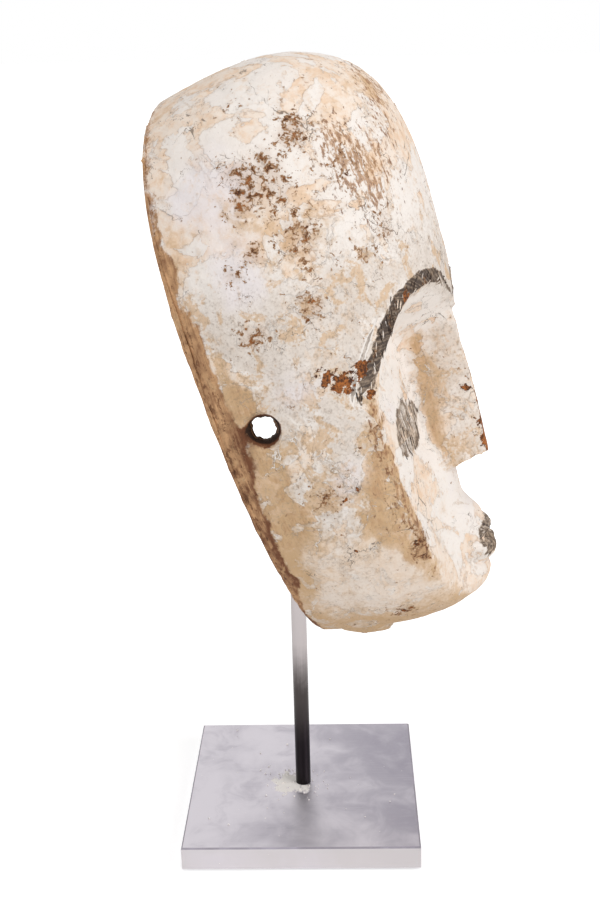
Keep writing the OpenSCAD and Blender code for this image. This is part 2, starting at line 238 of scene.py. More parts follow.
# Places where the coat is worn or tinted on the mask's right side, by what is there: across, forward, up
# and radius in millimetres, and strength
MARKS = {
    "worn": (
        (-54, 43, 77, 7, 0.8), (-69, 54, 45, 13, 1.2), (-72, 38, 50, 7, 0.8),
        (-73, 50, 37, 8, 0.8), (-56, 69, 60, 8, 1.0), (-60, 67, 54, 6, 0.9),
        (-38, 71, 79, 7, 0.8), (-50, 83, 38, 14, 0.8), (-46, 89, 9, 9, 1.0),
        (-57, 79, 2, 4, 1.1), (-71, 61, 16, 13, 1.2), (-77, 39, 34, 6, 0.8),
        (-79, 40, 17, 5, 1.1), (-82, 30, 11, 7, 0.9), (-74, 56, -10, 8, 1.3),
        (-82, 31, -15, 8, 1.2), (-74, 38, -94, 9, 1.1), (-54, 68, -130, 8, 1.1),
        (-42, 47, -165, 8, 0.7),
    ),
    "gouged": (
        (-75.5, 53, -39, 4.5, 1.0), (-75, 54, -45, 4.5, 1.0), (-72, 60, -43, 4.5, 1.0),
        (-71.5, 60, -49, 4.5, 1.0), (-67, 68, -45, 4, 1.2), (-66.5, 68, -54, 3, 1.2),
        (-67, 68, -41, 3.5, 1.2), (-44, 91, -22, 3.5, 1.5), (-73, 52.5, -77.5, 1.8, 1.4),
        (-71.8, 55.6, -77.4, 1.5, 1.4), (-71.1, 57.8, -76, 1.5, 1.3), (-71.3, 51, -93.5, 1.8, 1.4),
        (-72, 45.6, -97, 1.8, 1.4), (-72.5, 42.6, -98.3, 1.4, 1.3), (-66.5, 40.4, -122.6, 1.6, 1.4),
        (-51.5, 69.2, -132, 2.6, 1.3), (-41, 46, -166, 2.6, 1.3), (-2.5, 96.7, -75.8, 3, 1.2),
        (-53, 83, 33, 3, 0.9), (-57, 67, -128, 3, 0.8),
    ),
    "dashed": (
        (-46, 88, 27, 17, 1.1), (-52, 80, 47, 13, 0.9), (-24, 95, 42, 18, 0.6),
        (-8, 97, 60, 18, 0.8),
    ),
    "cool": (
        (-75, 28, 46, 20, 1.2), (-81, 33, 9, 18, 0.9), (-79, 41, -45, 16, 0.7),
        (-74, 46, -87, 14, 0.8), (-64, 44, -129, 18, 0.35), (-14, 80, -130, 20, 0.45),
        (-48, 71, -68, 14, 0.6),
    ),
    "stain": (
        (-79, 37, 28, 14, 0.6), (-71, 60, 20, 14, 0.7), (-83, 16, -40, 11, 0.7),
        (-78, 15, -84, 18, 0.9), (-72, 18, -106, 15, 0.7), (-68, 57, -101, 13, 0.7),
        (-32, 88, 65, 20, 0.4), (-8, 97, 62, 14, 0.6), (-59, 77, -21, 17, 0.6),
    ),
}


def smooth(t):
    """A soft step from 0 to 1."""
    k = np.clip(t, 0, 1)
    return k * k * (3 - 2 * k)


def above(value, start, span):
    """A soft step from 0 to 1 as a value in metres rises from a start by a span, both in millimetres."""
    return smooth((value - start * MM) / (span * MM))


def below(value, start, span):
    """A soft step from 0 to 1 as a value in metres falls from a start by a span, both in millimetres."""
    return smooth((start * MM - value) / (span * MM))


def dome(m, x, u, inset=0.0):
    """Depth of the bare dome above the rim plane, for a wall that lies inset inside it."""
    tall = np.where(u >= 0, m.crown, m.chin) - inset
    b = np.abs(u) / tall
    a = np.abs(x) / (m.width / 2 - inset)
    r = (a ** m.outline_e + b ** m.outline_e) ** (1 / m.outline_e)
    s = (b / np.maximum(r, 1e-9)) ** m.outline_e
    n = m.side_e + (np.where(u >= 0, m.crown_e, m.chin_e) - m.side_e) * s
    return (m.depth - inset) * np.maximum(0, 1 - r ** n) ** (1 / n)


def brow_at(m, x):
    """Level of the brow's edge at a distance from the middle of the face."""
    d = np.abs(x) - m.brow_x
    outer = m.brow_drop * (np.maximum(d, 0) / m.brow_half) ** m.brow_e
    return m.brow_u - np.where(d > 0, outer, m.root_drop * (d / m.brow_x) ** 2)


def sunken(m, x, u):
    """Depth of the sunken face, with the muzzle."""
    plane = m.cheek_f + m.plane_rise * np.maximum(0, 1 - np.abs(x) / m.cheek_x)
    return plane + m.muzzle_rise * np.exp(-(x / m.muzzle_w) ** 2) * smooth((m.muzzle_u - u) / m.muzzle_fade)


def carved(m, x, u, inset=0.0):
    """The dome with the face cut back under the brows."""
    d = dome(m, x, u, inset)
    t = np.clip((brow_at(m, x) + inset - u) / m.brow_ramp, 0, 1)
    over = d - sunken(m, x, u) + inset
    cut = (over + np.sqrt(over * over + m.ridge_soft ** 2)) / 2
    return d - cut * (smooth(t) + 1 - (1 - t) ** 2) / 2


def nose(m, x, u):
    """The nose left standing: a ridge with flat sides and a flat underside."""
    root_u = m.brow_u - m.root_drop
    t = np.clip((root_u - u) / (root_u - m.nose_u), 0, 1)
    ridge = dome(m, 0 * x, u) - m.nose_set
    low = sunken(m, x, u) - m.nose_sink
    side = (np.abs(x) - m.ridge_x) / (m.root_x + (m.nose_x - m.root_x) * t - m.ridge_x)
    under = ridge - m.under_slope * np.maximum(0, m.nose_u - u)
    return np.minimum(ridge - (ridge - low) * np.maximum(0, side), under)


def lips(m, x, u):
    """Height of the lips, with a shallow gap between them, and of the muzzle's shoulder above them."""
    v = np.abs(u - m.mouth_u) / m.lip_h
    w = np.abs(x) / m.lip_x
    swell = m.lip_rise * np.sqrt(np.maximum(0, 1 - np.hypot(v, w) ** 2.6))
    swell *= 1 - m.lip_gap * np.exp(-((u - m.mouth_u) / (0.15 * m.lip_h)) ** 2)
    upper = smooth((m.mouth_u + 1.9 * m.lip_h - u) / m.lip_h)
    shoulder = m.lip_shoulder * np.exp(-w ** 2) * upper * smooth((u - m.mouth_u + 0.7 * m.lip_h) / m.lip_h)
    return np.maximum(swell, shoulder)


def outside(m, x, u):
    """Depth of the finished face above the rim plane."""
    return np.maximum(carved(m, x, u) + lips(m, x, u), np.minimum(nose(m, x, u), dome(m, x, u)))


def draw_at(m, f):
    """The rim drawn in a little."""
    return 1 - m.rim_draw * (1 - np.clip(f / (m.draw_share * m.depth), 0, 1)) ** 2


def rise_at(m, f, u):
    """The crown rising towards the front."""
    return np.where(u > 0, 1 + m.crown_rise * f / m.crown, 1)


def placed(m, x, f, u):
    """Points of the mask, across, forward from the rim and up the rim, in the part's frame."""
    y = m.rim_back + u * math.sin(m.lean) - f * math.cos(m.lean)
    z = m.rim_up + u * math.cos(m.lean) + f * math.sin(m.lean)
    return np.stack([x + 0 * y, y, z], -1)


def shaped(m, x, f, u):
    """Points of the mask in the part's frame, with the rim drawn in and the crown risen."""
    return placed(m, x * draw_at(m, f), f, u * draw_at(m, f) * rise_at(m, f, u))


def unplaced(m, points):
    """Points in the part's frame as across, forward and up on the mask, before the rim was drawn in."""
    y = points[:, 1] - m.rim_back
    z = points[:, 2] - m.rim_up
    f = z * math.sin(m.lean) - y * math.cos(m.lean)
    v = z * math.cos(m.lean) + y * math.sin(m.lean)
    u = v / draw_at(m, f)
    return points[:, 0] / draw_at(m, f), f, u / rise_at(m, f, u)


def outline(m, turn, inset):
    """The rim's outline at an angle, for a wall that lies inset inside it."""
    c, s = np.cos(turn), np.sin(turn)
    x = (m.width / 2 - inset) * np.sign(c) * np.abs(c) ** (2 / m.outline_e)
    tall = np.where(s >= 0, m.crown, m.chin) - inset
    return x, tall * np.sign(s) * np.abs(s) ** (2 / m.outline_e)


# Level at the middle of the net of faces, the share of it that spans the face,
# the share of the face's reach that it covers, and how fast it closes up to the rim
HUB_U = -56 * MM
NET_SHARE = 0.6
NET_REACH = 0.8
NET_CLOSE = 3.2


def net(m, rows, inset):
    """Points, across and up, of a square net over the face that becomes the rim's outline at its edge,
    with their angles and whether they lie on that edge."""
    step = np.linspace(-1, 1, rows + 1)
    s, t = (g.ravel() for g in np.meshgrid(step, step))
    k = np.maximum(np.abs(s), np.abs(t))
    safe = np.maximum(k, 1e-9)
    wide = np.abs(s) >= np.abs(t)
    quarter = math.pi / 4
    sideways = quarter * t / np.where(s == 0, 1, s) + np.where(s < 0, math.pi, 0)
    upright = 2 * quarter * np.sign(t) - quarter * s / np.where(t == 0, 1, t)
    turn = np.where(wide, sideways, upright)
    bx, bu = outline(m, turn, inset)
    past = np.clip((k - NET_SHARE) / (1 - NET_SHARE), 0, 1)
    near = k * NET_REACH / NET_SHARE
    far = NET_REACH + (1 - NET_REACH) * (1 - (1 - past) ** NET_CLOSE)
    r = np.where(k < NET_SHARE, near, far)
    up = np.where(t < 0, -(m.chin - inset), m.crown - inset) - HUB_U
    w = smooth(k / NET_SHARE)
    x = r * (s / safe * (m.width / 2 - inset) * (1 - w) + bx * w)
    u = HUB_U + r * (np.abs(t) / safe * up * (1 - w) + (bu - HUB_U) * w)
    return x, u, turn, k >= 1 - 1e-9


def net_faces(rows, first, turned):
    """Corners of a net's square faces."""
    j, i = np.meshgrid(np.arange(rows), np.arange(rows), indexing="ij")
    a = (first + j * (rows + 1) + i).ravel()
    quads = np.stack([a, a + 1, a + rows + 2, a + rows + 1], 1)
    return quads[:, ::-1] if turned else quads


def net_edge(rows):
    """Numbers of the points round a net's edge, anticlockwise from its first corner."""
    n, i = rows + 1, np.arange(rows)
    return np.concatenate([i, i * n + rows, n * n - 1 - i, (rows - i) * n])


def fractal(points, size, octaves, seed):
    """Fractal noise with features of a size in metres, from about -1 to 1."""
    shift = Vector((seed * 17.3, seed * 5.9, seed * 11.7))
    return np.array([noise.fractal(Vector(p) / size + shift, 1.0, 2.0, octaves) for p in points])


def scallops(points, size, seed):
    """Shallow cups that a blade leaves side by side, from 0 in a cup's middle to about 1 between cups."""
    shift = Vector((seed * 13.1, seed * 3.7, seed * 7.9))
    return np.array([noise.voronoi(Vector(p) / size + shift)[0][0] for p in points])


def mesh_object(name, points, faces):
    """A new object at the origin, with its place in its mesh."""
    mesh = bpy.data.meshes.new(name)
    mesh.from_pydata([tuple(p) for p in points], [], [tuple(int(i) for i in f) for f in faces])
    mesh.update()
    piece = bpy.data.objects.new(name, mesh)
    bpy.context.scene.collection.objects.link(piece)
    return piece


def tube(rings, count):
    """Faces of a tube's sides, between rings that have a count of points each."""
    faces = []
    for j in range(rings - 1):
        for i in range(count):
            a, b = j * count + i, j * count + (i + 1) % count
            faces.append((a, b, b + count, a + count))
    return faces


def coordinates(mesh, what="co"):
    """The places, or the normals, of a mesh's points."""
    out = np.zeros(len(mesh.vertices) * 3, np.float32)
    mesh.vertices.foreach_get(what, out)
    return out.reshape(-1, 3).astype(float)


def baked(piece):
    """Replaces a piece's mesh by what its modifiers make of it, and removes them."""
    seen = piece.evaluated_get(bpy.context.evaluated_depsgraph_get())
    mesh = bpy.data.meshes.new_from_object(seen)
    piece.modifiers.clear()
    old, piece.data = piece.data, mesh
    mesh.name = piece.name
    bpy.data.meshes.remove(old)
    return piece


def removed(piece):
    """Deletes a helper object and its mesh."""
    mesh = piece.data
    bpy.data.objects.remove(piece)
    bpy.data.meshes.remove(mesh)


def smoothed(piece, degrees):
    """Shades a piece smooth, with its edges sharp where they bend by more than an angle."""
    piece.data.polygons.foreach_set("use_smooth", [True] * len(piece.data.polygons))
    piece.data.set_sharp_from_angle(angle=math.radians(degrees))
    return piece


def finished(piece, material):
    """Gives a whole piece one material."""
    piece.data.materials.clear()
    piece.data.materials.append(material)
    piece.data.polygons.foreach_set("material_index", [0] * len(piece.data.polygons))
    return piece


def carved_block(m):
    """The carved, hollow block of wood with its worn rim, before its cord holes."""
    rows, half = m.outer_rows, m.outer_rows // 2
    x, u, turn, edge = net(m, rows, 0)
    outer = shaped(m, x, np.where(edge, m.rim_round, outside(m, x, u)), u)
    ix, iu, iturn, iedge = net(m, half, m.wall)
    inner = shaped(m, ix, np.where(iedge, m.rim_round, carved(m, ix, iu, m.wall)), iu)
    ring, iring = net_edge(rows), net_edge(half)
    loops = []
    for part_turn, inset, f in (
        (turn[ring], 0.3 * m.rim_round, 0.3 * m.rim_round),
        (turn[ring], m.rim_round, 0.0),
        (iturn[iring], m.wall - m.rim_round, 0.0),
    ):
        lx, lu = outline(m, part_turn, inset)
        loops.append(shaped(m, lx, np.full_like(lx, f), lu))
    first = np.cumsum([0, len(outer), len(inner)] + [len(p) for p in loops])
    faces = list(net_faces(rows, first[0], False)) + list(net_faces(half, first[1], True))
    rings = [first[0] + ring] + [first[2 + i] + np.arange(len(p)) for i, p in enumerate(loops)]
    rings.append(first[1] + iring)
    for a, b in zip(rings, rings[1:]):
        count = len(b)
        if len(a) == count:
            faces += [(a[i], b[i], b[(i + 1) % count], a[(i + 1) % count]) for i in range(count)]
            continue
        for i in range(count):
            p, q, r = a[2 * i], a[2 * i + 1], a[(2 * i + 2) % len(a)]
            faces += [(p, b[i], q), (b[i], b[(i + 1) % count], q), (q, b[(i + 1) % count], r)]
    return mesh_object("carved_mask", np.concatenate([outer, inner] + loops), faces)


def in_hollow(m, x, f, u):
    """Whether points lie on the hollow's side of the wall."""
    return f < carved(m, x, u, m.wall / 2)


def weathered(m, piece):
    """Moves the block's points in by the blade's marks, worn edges, chips, gouges and breaks, and out by
    its soft swellings."""
    points, normals = coordinates(piece.data), coordinates(piece.data, "normal")
    x, f, u = unplaced(m, points)
    hollow = in_hollow(m, x, f, u)
    wave = fractal(points, 34 * MM, 3, 1)
    cups = scallops(points * (1, 1, 0.6), 15 * MM, 2)
    ragged = fractal(points, 9 * MM, 3, 4)
    cut = np.maximum(0.2 * MM, m.carve * (0.35 + 0.4 * wave + 0.35 * (cups - 0.5) + 0.55 * ragged))
    inner = m.carve_hollow * (0.9 * (cups - 0.4) + 0.4 * wave)
    low = smooth((m.rim_up - m.chin * math.cos(m.lean) + 22 * MM - points[:, 2]) / (20 * MM))
    broken = smooth((f - m.break_f - 2 * MM * ragged) / (1.5 * MM))
    broken *= smooth((m.break_f + 35 * MM - f) / (25 * MM))
    cut += low * (m.chip * np.maximum(0, ragged) + m.break_in * broken)
    behind = smooth((f - 6 * MM) / (16 * MM)) * smooth((m.break_f + 2 * MM * ragged - f) / (1.5 * MM))
    under_lips = bump_at(u, -168 * MM, 8 * MM) * bump_at(x, 0, 24 * MM) * (f > 50 * MM)
    cut -= m.chin_swell * (low * behind + under_lips)
    cut -= m.front_swell * smooth((f - 70 * MM) / (25 * MM)) * smooth((u - brow_at(m, x)) / (20 * MM))
    mouth = bump_at(x, 0, m.lip_x) * bump_at(u, m.mouth_u, m.lip_h) * (f > sunken(m, x, u) + 2 * MM)
    cut += m.lip_lump * mouth * np.maximum(0, fractal(points, 6 * MM, 3, 6) + 0.2)
    cut += m.gouge * np.clip(marks("gouged", np.stack([x, f, u], 1)), 0, 1) * np.maximum(0, ragged + 0.6)
    rim = smooth(1 - f / (5 * MM))
    cut += 0.6 * MM * rim * np.maximum(0, fractal(points, 24 * MM, 2, 5) + 0.2)
    moved = points - normals * np.where(hollow, inner * (1 - rim), cut)[:, None]
    piece.data.vertices.foreach_set("co", moved.astype(np.float32).ravel())
    piece.data.update()


def side_at(m, f, u, inset):
    """Distance of the wall's side from the middle of the mask, at a depth and level."""
    low, high = np.zeros_like(f), np.full_like(f, m.width / 2 - inset)
    for _ in range(40):
        mid = (low + high) / 2
        inside = dome(m, mid, u, inset) > f
        low, high = np.where(inside, mid, low), np.where(inside, high, mid)
    return (low + high) / 2


def cord_hole_cutter(m, side):
    """A plug of the space in a cord hole, flared where cords have worn both edges of the wall."""
    count = 72
    turn = np.linspace(0, 2 * math.pi, count, endpoint=False)
    r = m.cord_d / 2
    f = m.cord_f + r * np.cos(turn)
    u = m.cord_u + r * np.sin(turn)
    skin, back = side_at(m, f, u, 0), side_at(m, f, u, m.wall)
    middle = placed(m, np.array([0.0]), np.array([m.cord_f]), np.array([m.cord_u]))[0]
    round_the_edge = np.stack([np.cos(turn), np.sin(turn), np.full(count, side)], 1)
    ragged = fractal(round_the_edge, 0.5, 3, 7)
    # Cords have pulled down and towards the rim
    flare = m.cord_flare * (1.2 + 1.1 * np.cos(turn - math.radians(215)))
    fibres = fractal(round_the_edge, 0.6, 2, 8)
    # Places across the wall, how far the hole is worn wide there, and its share of the slant
    steps = (
        (skin + 4 * MM, 1.9, 0.0), (skin, 1.0, 0.0), (skin - 0.6 * MM, 0.65, 0.0),
        (skin - 1.5 * MM, 0.3, 0.1),
        (skin - 3 * MM, -0.1, 0.3), ((skin + back) / 2, -0.7, 0.5), (back + 1.5 * MM, -1.0, 0.9),
        (back, -0.95, 1.0), (back - 4 * MM, -0.85, 1.0),
    )
    rings = []
    for across, wide, slant in steps:
        rag = ragged if wide > 0 else fibres
        pulled = flare if wide > 0 else m.cord_flare
        radius = r + pulled * (wide + 0.6 * abs(wide) * rag) + 0.25 * MM * ragged
        df = radius * np.cos(turn) - slant * m.cord_slant
        du = radius * np.sin(turn) - 0.5 * slant * m.cord_slant
        y = middle[1] - df * math.cos(m.lean) + du * math.sin(m.lean)
        z = middle[2] + df * math.sin(m.lean) + du * math.cos(m.lean)
        rings.append(np.stack([side * across, y, z], 1))
    last = (len(steps) - 1) * count
    faces = tube(len(steps), count) + [tuple(range(count))[::-1], tuple(range(last, last + count))]
    if side < 0:
        faces = [q[::-1] for q in faces]
    return mesh_object("cord_hole_cutter", np.concatenate(rings), faces)


def bored(m, piece):
    """Cuts the two cord holes."""
    cutters = [cord_hole_cutter(m, side) for side in (-1, 1)]
    for cutter in cutters:
        cut = piece.modifiers.new("cord hole", "BOOLEAN")
        cut.operation, cut.solver, cut.object = "DIFFERENCE", "MANIFOLD", cutter
    baked(piece)
    for cutter in cutters:
        removed(cutter)
    return piece


def brow_line(m, side):
    """Points along a brow's edge, from the nose to its outer end, and their distances along it."""
    x = np.linspace(1.5 * MM, m.brow_x + m.brow_half, 160)
    u = brow_at(m, x)
    line = np.stack([side * x, dome(m, x, u), u], 1)
    along = np.concatenate([[0], np.cumsum(np.linalg.norm(np.diff(line, axis=0), axis=1))])
    return line, along


def marks(kind, place):
    """How strongly the marks of one kind show at places on the mask; the left side has them shifted."""
    total = np.zeros(len(place))
    numbered = enumerate((what, spot) for what, spots in MARKS.items() for spot in spots)
    for i, (*at, radius, strength) in ((i, spot) for i, (what, spot) in numbered if what == kind):
        for side in (-1, 1):
            drift = np.array((0, 6 * math.sin(5 * i), 14 * math.cos(3 * i))) * (side > 0)
            middle = (np.array(at) * (-side, 1, 1) + drift) * MM
            total += strength * np.exp(-((place - middle) ** 2).sum(1) / (radius * MM) ** 2)
    return total


def store(mesh, name, values):
    """Keeps numbers, or vectors, for a mesh's points as a named attribute."""
    flat = np.asarray(values, np.float32)
    kind = "FLOAT" if flat.ndim == 1 else "FLOAT_VECTOR"
    made = mesh.attributes.get(name) or mesh.attributes.new(name, kind, "POINT")
    made.data.foreach_set("value" if kind == "FLOAT" else "vector", flat.ravel())


def bump_at(value, middle, reach):
    """A soft bump, 1 at its middle, that has faded at about twice its reach."""
    return np.exp(-((value - middle) / reach) ** 2)


def handled(m, x, f, u, rough):
    """Where hands and cords have bared and blackened the wood along the rim and round the cord holes, and
    painted shade inside those holes.
    """
    from_hole = np.hypot(f - m.cord_f, u - m.cord_u)
    hole = np.where(np.abs(x) > m.width / 4, from_hole - m.cord_d / 2, 1)
    # The bare band is widest at the cord holes and runs out towards the chin
    band = (6 + 3 * below(u, 20, 50) - below(u, -66, 25)) * MM
    band += (4 * bump_at(u, m.cord_u - 4 * MM, 16 * MM) + 2 * bump_at(u, -135 * MM, 6 * MM)) * MM
    band -= (2.5 * below(u, -105, 20) + 3.8 * below(u, -138, 20)) * MM
    low = below(u, -55, 20)
    waver = (4 - 1.8 * low - 1.2 * below(u, -130, 20)) * MM * rough
    rim = smooth(1.5 - (f - waver) / band) * (1 - 0.52 * above(u, 0, 50))
    back = below(f, 2 + 2.5 * rough, 2)
    # Painted shade fills the holes inside, and bare wood and soot spread where cords have pulled, down and to
    # the rim
    pull = np.clip(-(f - m.cord_f + u - m.cord_u) / np.maximum(MM, from_hole), 0, 1)
    top = smooth((u - m.cord_u) / (m.cord_d / 2))
    rubbed = below(hole, 0.6 - 1.4 * top + (0.5 + 2.5 * pull) * (1 + rough), 2.2)
    soot = below(hole, 0.9 - 2.2 * top, 1.5) + 0.5 * pull * below(hole, 5.5, 5)
    soot += 0.6 * bump_at(u, m.cord_u - 12 * MM, 12 * MM) * bump_at(f, 11 * MM, 4 * MM)
    # Along the low rim a darker line runs just inside the bare band
    soot = np.maximum(soot, (0.4 * bump_at(f - waver, 0.9 * band, 1.2 * MM) + 0.13 * rim) * low)
    bare = np.maximum.reduce([rim, 0.9 * back, rubbed])
    return SimpleNamespace(hole=hole, band=band, low=low, rim=rim, bare=bare, soot=soot)


def face_parts(m, x, f, u, rough):
    """Where the parts of the face lie: its sunken plane, the cheek's shoulder with its ridge, and the
    nose's valley, flanks, bridge and tip."""
    aside = np.abs(x)
    face = smooth((brow_at(m, x) - u) / (6 * MM))
    behind = sunken(m, x, u) - f
    plane = face * below(behind, 3, 4)
    reach = (11 + 16 * bump_at(u, -108 * MM, 20 * MM)) * MM
    over = dome(m, x, u) - sunken(m, x, u)
    shoulder = face * below(over, 12 + 8 * rough, 10) * above(u, -164 - 12 * rough, 40)
    shoulder *= smooth((reach + 4 * MM * rough - behind) / (0.6 * reach)) * above(aside, 34, 8)
    ridge = shoulder * below(behind, 7 + 4 * rough, 5)
    root_u = m.brow_u - m.root_drop
    down = np.clip((root_u - u) / (root_u - m.nose_u), 0, 1)
    base = m.root_x + (m.nose_x - m.root_x) * down
    on_nose = (u > m.nose_u - 3 * MM) * smooth(down / 0.15)
    steep = (34 - 16 * smooth(down / 0.7)) * MM
    # Painted shade darkens the valley beside the nose and the nose's flanks
    valley = face * on_nose * below(behind, 0.5, 5) * smooth((steep + behind) / (0.8 * steep))
    flank = plane * on_nose * smooth((base - aside) / (4 * MM))
    bridge = on_nose * bump_at(x, 0, 4.5 * MM) * smooth((down - 0.2) / 0.3)
    tip = on_nose * bump_at(x, 0, 3.6 * MM) * smooth((down - 0.3) / 0.6)
    return SimpleNamespace(face=face, plane=plane, shoulder=shoulder, ridge=ridge, valley=valley,
                           flank=flank, bridge=bridge, tip=tip)


def painted(m, piece):
    """Writes where the wood is bare, worn, stained and blackened on the mask's points, and where painted
    shade darkens the valleys beside the nose and its flanks.
    """
    points = coordinates(piece.data)
    x, f, u = unplaced(m, points)
    place = np.stack([x, f, u], 1)
    outer = ~in_hollow(m, x, f, u)
    rough = fractal(points, 11 * MM, 5, 11)
    hand = handled(m, x, f, u, rough)
    part = face_parts(m, x, f, u, rough)
    lower = below(u, -30, 90) * (1 - part.plane)
    chin = below(u, -152, 20) * (1 - 0.5 * part.plane)
    worn = np.minimum(marks("worn", place), 1.2) + 0.6 * part.bridge + 0.2 * chin
    worn += (0.15 * part.shoulder + 0.35 * part.ridge) * above(u, -158, 30)
    stain = marks("stain", place) + 1.05 * part.shoulder + 0.35 * lower + 0.8 * part.bridge + 0.8 * chin
    # Painted shade, partly stain, in the valley beside the nose and on its flanks
    stain += 0.78 * part.valley - 0.45 * part.plane * (1 - part.valley) * (1 - part.shoulder)
    stain += 0.4 * smooth(1.2 - hand.hole / (16 * MM)) + 0.35 * part.flank
    stain -= 0.3 * above(u, 30, 30) * below(f, 75, 20)
    stain += (0.6 + 0.6 * below(u, -60, 20)) * bump_at(f, 1.4 * hand.band, 6 * MM)
    film = below(u, 30, 40) * (1 - part.plane) * (1 - 0.6 * below(u, -95, 35))
    # The nose's flanks get grey film as painted shade
    film += 0.9 * part.flank - 0.5 * hand.low * bump_at(f, hand.band + 4 * MM, 6 * MM)
    dusty = below(u, -100 + 8 * rough, 30) * (1 - part.plane) * (1 - hand.rim) * (1 - 0.6 * part.shoulder)
    # and beige as painted shade
    dusty += 0.4 * part.flank
    gouged = marks("gouged", place) + 1.6 * part.tip
    black = blacken(m, piece, place, part.face)
    drawn = smooth((black - 0.55) / 0.3) * (u > m.mouth_u + 2 * m.lip_h)
    drawn *= np.where(black > 0.93, 1.0, 0.3) * (1 - np.clip(gouged, 0, 1))
    flaky = outer * (1 - hand.rim) * (1 - np.clip(black, 0, 1))
    flaky *= np.clip(0.15 + 0.5 * worn + 0.3 * film, 0, 1)
    values = {
        "hollow": ~outer * smooth((f + 3 * MM * rough) / (9 * MM)), "bare": hand.bare, "soot": hand.soot,
        "worn": worn, "cool": marks("cool", place), "stain": np.minimum(stain, 1.2), "film": film,
        "dusty": dusty, "dashed": 0.4 * part.shoulder + 0.6 * part.ridge + marks("dashed", place),
        "gouged": gouged, "black": black, "charred": outer * drawn, "flaky": flaky,
    }
    for name, value in values.items():
        store(piece.data, name, value)


# How much shorter a stroke's pattern is than its true length, which draws it out into strokes
HATCH_LONG = 0.12


def blacken(m, piece, place, face):
    """Writes the way that charcoal strokes run on the brows and eyes, and returns where charcoal lies."""
    x, f, u = place.T
    side = np.where(x < 0, -1, 1)
    black, across, along = np.zeros(len(x)), x.copy(), u.copy()
    groove = np.tile((99.0, 0.0, 0.0), (len(x), 1))
    way = np.tile((0.15, 0.0, 1.0), (len(x), 1)) * np.stack([side, side, np.ones(len(x))], 1)
    for s in (-1, 1):
        line, run = brow_line(m, s)
        near = np.flatnonzero((side == s) & (np.abs(u - brow_at(m, x)) < 40 * MM) & (f > 40 * MM))
        gap = np.linalg.norm(place[near, None] - line[None], axis=2)
        best = gap.argmin(1)
        off = gap[np.arange(len(near)), best] * np.where(u[near] > brow_at(m, x[near]), 1, -1)
        far = run[best]
        ends = smooth((far - 4 * MM) / (16 * MM)) * smooth((run[-1] + 4 * MM - far) / (12 * MM))
        half = m.band_w / 2 * (0.35 + 0.65 * ends)
        ragged = MM * fractal(place[near], 5 * MM, 3, 21)
        band = smooth((half + ragged - np.abs(off - 0.30 * m.band_w)) / (1.6 * MM) + 0.5)
        band *= smooth(far / (2 * MM))
        # Near the nose the charcoal is rubbed off, except for a line along its upper edge
        edge = bump_at(off, 0.3 * m.band_w + half - 1.2 * MM, 1.6 * MM)
        rubbed = 1 - smooth((far - 16 * MM) / (16 * MM))
        black[near] = np.maximum(black[near], band * (1 - rubbed * (0.2 - 0.2 * edge)))
        across[near] = np.where(band > 0, far - 0.9 * off, across[near])
        along[near] = np.where(band > 0, off, along[near])
        run_of = np.gradient(line, axis=0)[best]
        run_of /= np.linalg.norm(run_of, axis=1)[:, None]
        tail = line[-1] - line[-9]
        past = smooth(1 - (place[near] - line[-1]) @ tail / np.linalg.norm(tail) / (8 * MM))
        # The painted groove beside the brow's outer end
        groove[near, 0] = (off - 0.3 * m.band_w - half) / MM - 2.2
        groove[near, 1] = 1.7 * past * smooth((far - run[-1] + 36 * MM) / (14 * MM))
        cross = np.array((0, 0, 1)) - run_of * run_of[:, 2:]
        way[near] = np.where(band[:, None] > 0, run_of - 0.9 * cross, way[near])
    eye_run = (np.abs(x) - m.eye_x) / m.eye_half
    eye_off = u - m.eye_u + m.eye_tilt * (np.abs(x) - m.eye_x)
    tall = m.eye_tall * np.maximum(0, 1 - eye_run ** 2) ** 0.6
    ahead = f - sunken(m, x, u)
    eye = smooth((tall - np.abs(eye_off) + 3 * MM * fractal(place, 8 * MM, 4, 22)) / (5 * MM) + 0.25)
    ring = bump_at(tall - np.abs(eye_off), 1.5 * MM, 2.5 * MM)
    black = np.maximum(black, (0.82 + 0.1 * ring) * eye * (np.abs(ahead) < 3 * MM) * face)
    mouth = smooth((m.lip_x + 1.5 * MM - np.abs(x)) / (3 * MM))
    mouth *= smooth((ahead - 3.6 * MM + 3 * MM * fractal(place, 6 * MM, 4, 24)) / (3 * MM))
    torn = MM * fractal(place, 5 * MM, 3, 23)
    mouth *= smooth((m.lip_h + 0.5 * MM - np.abs(u - m.mouth_u) + torn) / (3 * MM))
    along = np.where(mouth > 0, u / HATCH_LONG, along)
    turned_way = np.stack([way[:, 0], way[:, 2] * math.sin(m.lean) - way[:, 1] * math.cos(m.lean),
                           way[:, 2] * math.cos(m.lean) + way[:, 1] * math.sin(m.lean)], 1)
    store(piece.data, "strokes", np.stack([across, along, 0 * along], 1))
    store(piece.data, "way", turned_way)
    store(piece.data, "groove", groove)
    return np.maximum(black, 0.9 * mouth)


def add(tree, kind, inputs=(), **settings):
    """Adds a node with its settings, and fills its inputs, by number or name, from values or sockets."""
    made = tree.nodes.new(kind)
    for name, value in settings.items():
        setattr(made, name, value)
    for key, value in dict(inputs).items():
        socket = made.inputs[key]
        if isinstance(value, bpy.types.NodeSocket):
            tree.links.new(value, socket)
        else:
            socket.default_value = value
    return made


def new_material(name, **settings):
    """A material with one shader, whose plain values are set on its own sockets, and Object coordinates."""
    material = bpy.data.materials.new(name)
    material.use_nodes = True
    tree = material.node_tree
    for key, value in settings.items():
        tree.nodes["Principled BSDF"].inputs[key.replace("_", " ")].default_value = value
    return material, tree, add(tree, "ShaderNodeTexCoord").outputs["Object"]


def weighed(tree, parts, offset=0.0):
    """One socket with the sum of sockets times their weights."""
    total = offset
    for socket, weight in parts:
        step = add(tree, "ShaderNodeMath", {0: socket, 1: weight, 2: total}, operation="MULTIPLY_ADD")
        total = step.outputs[0]
    return total


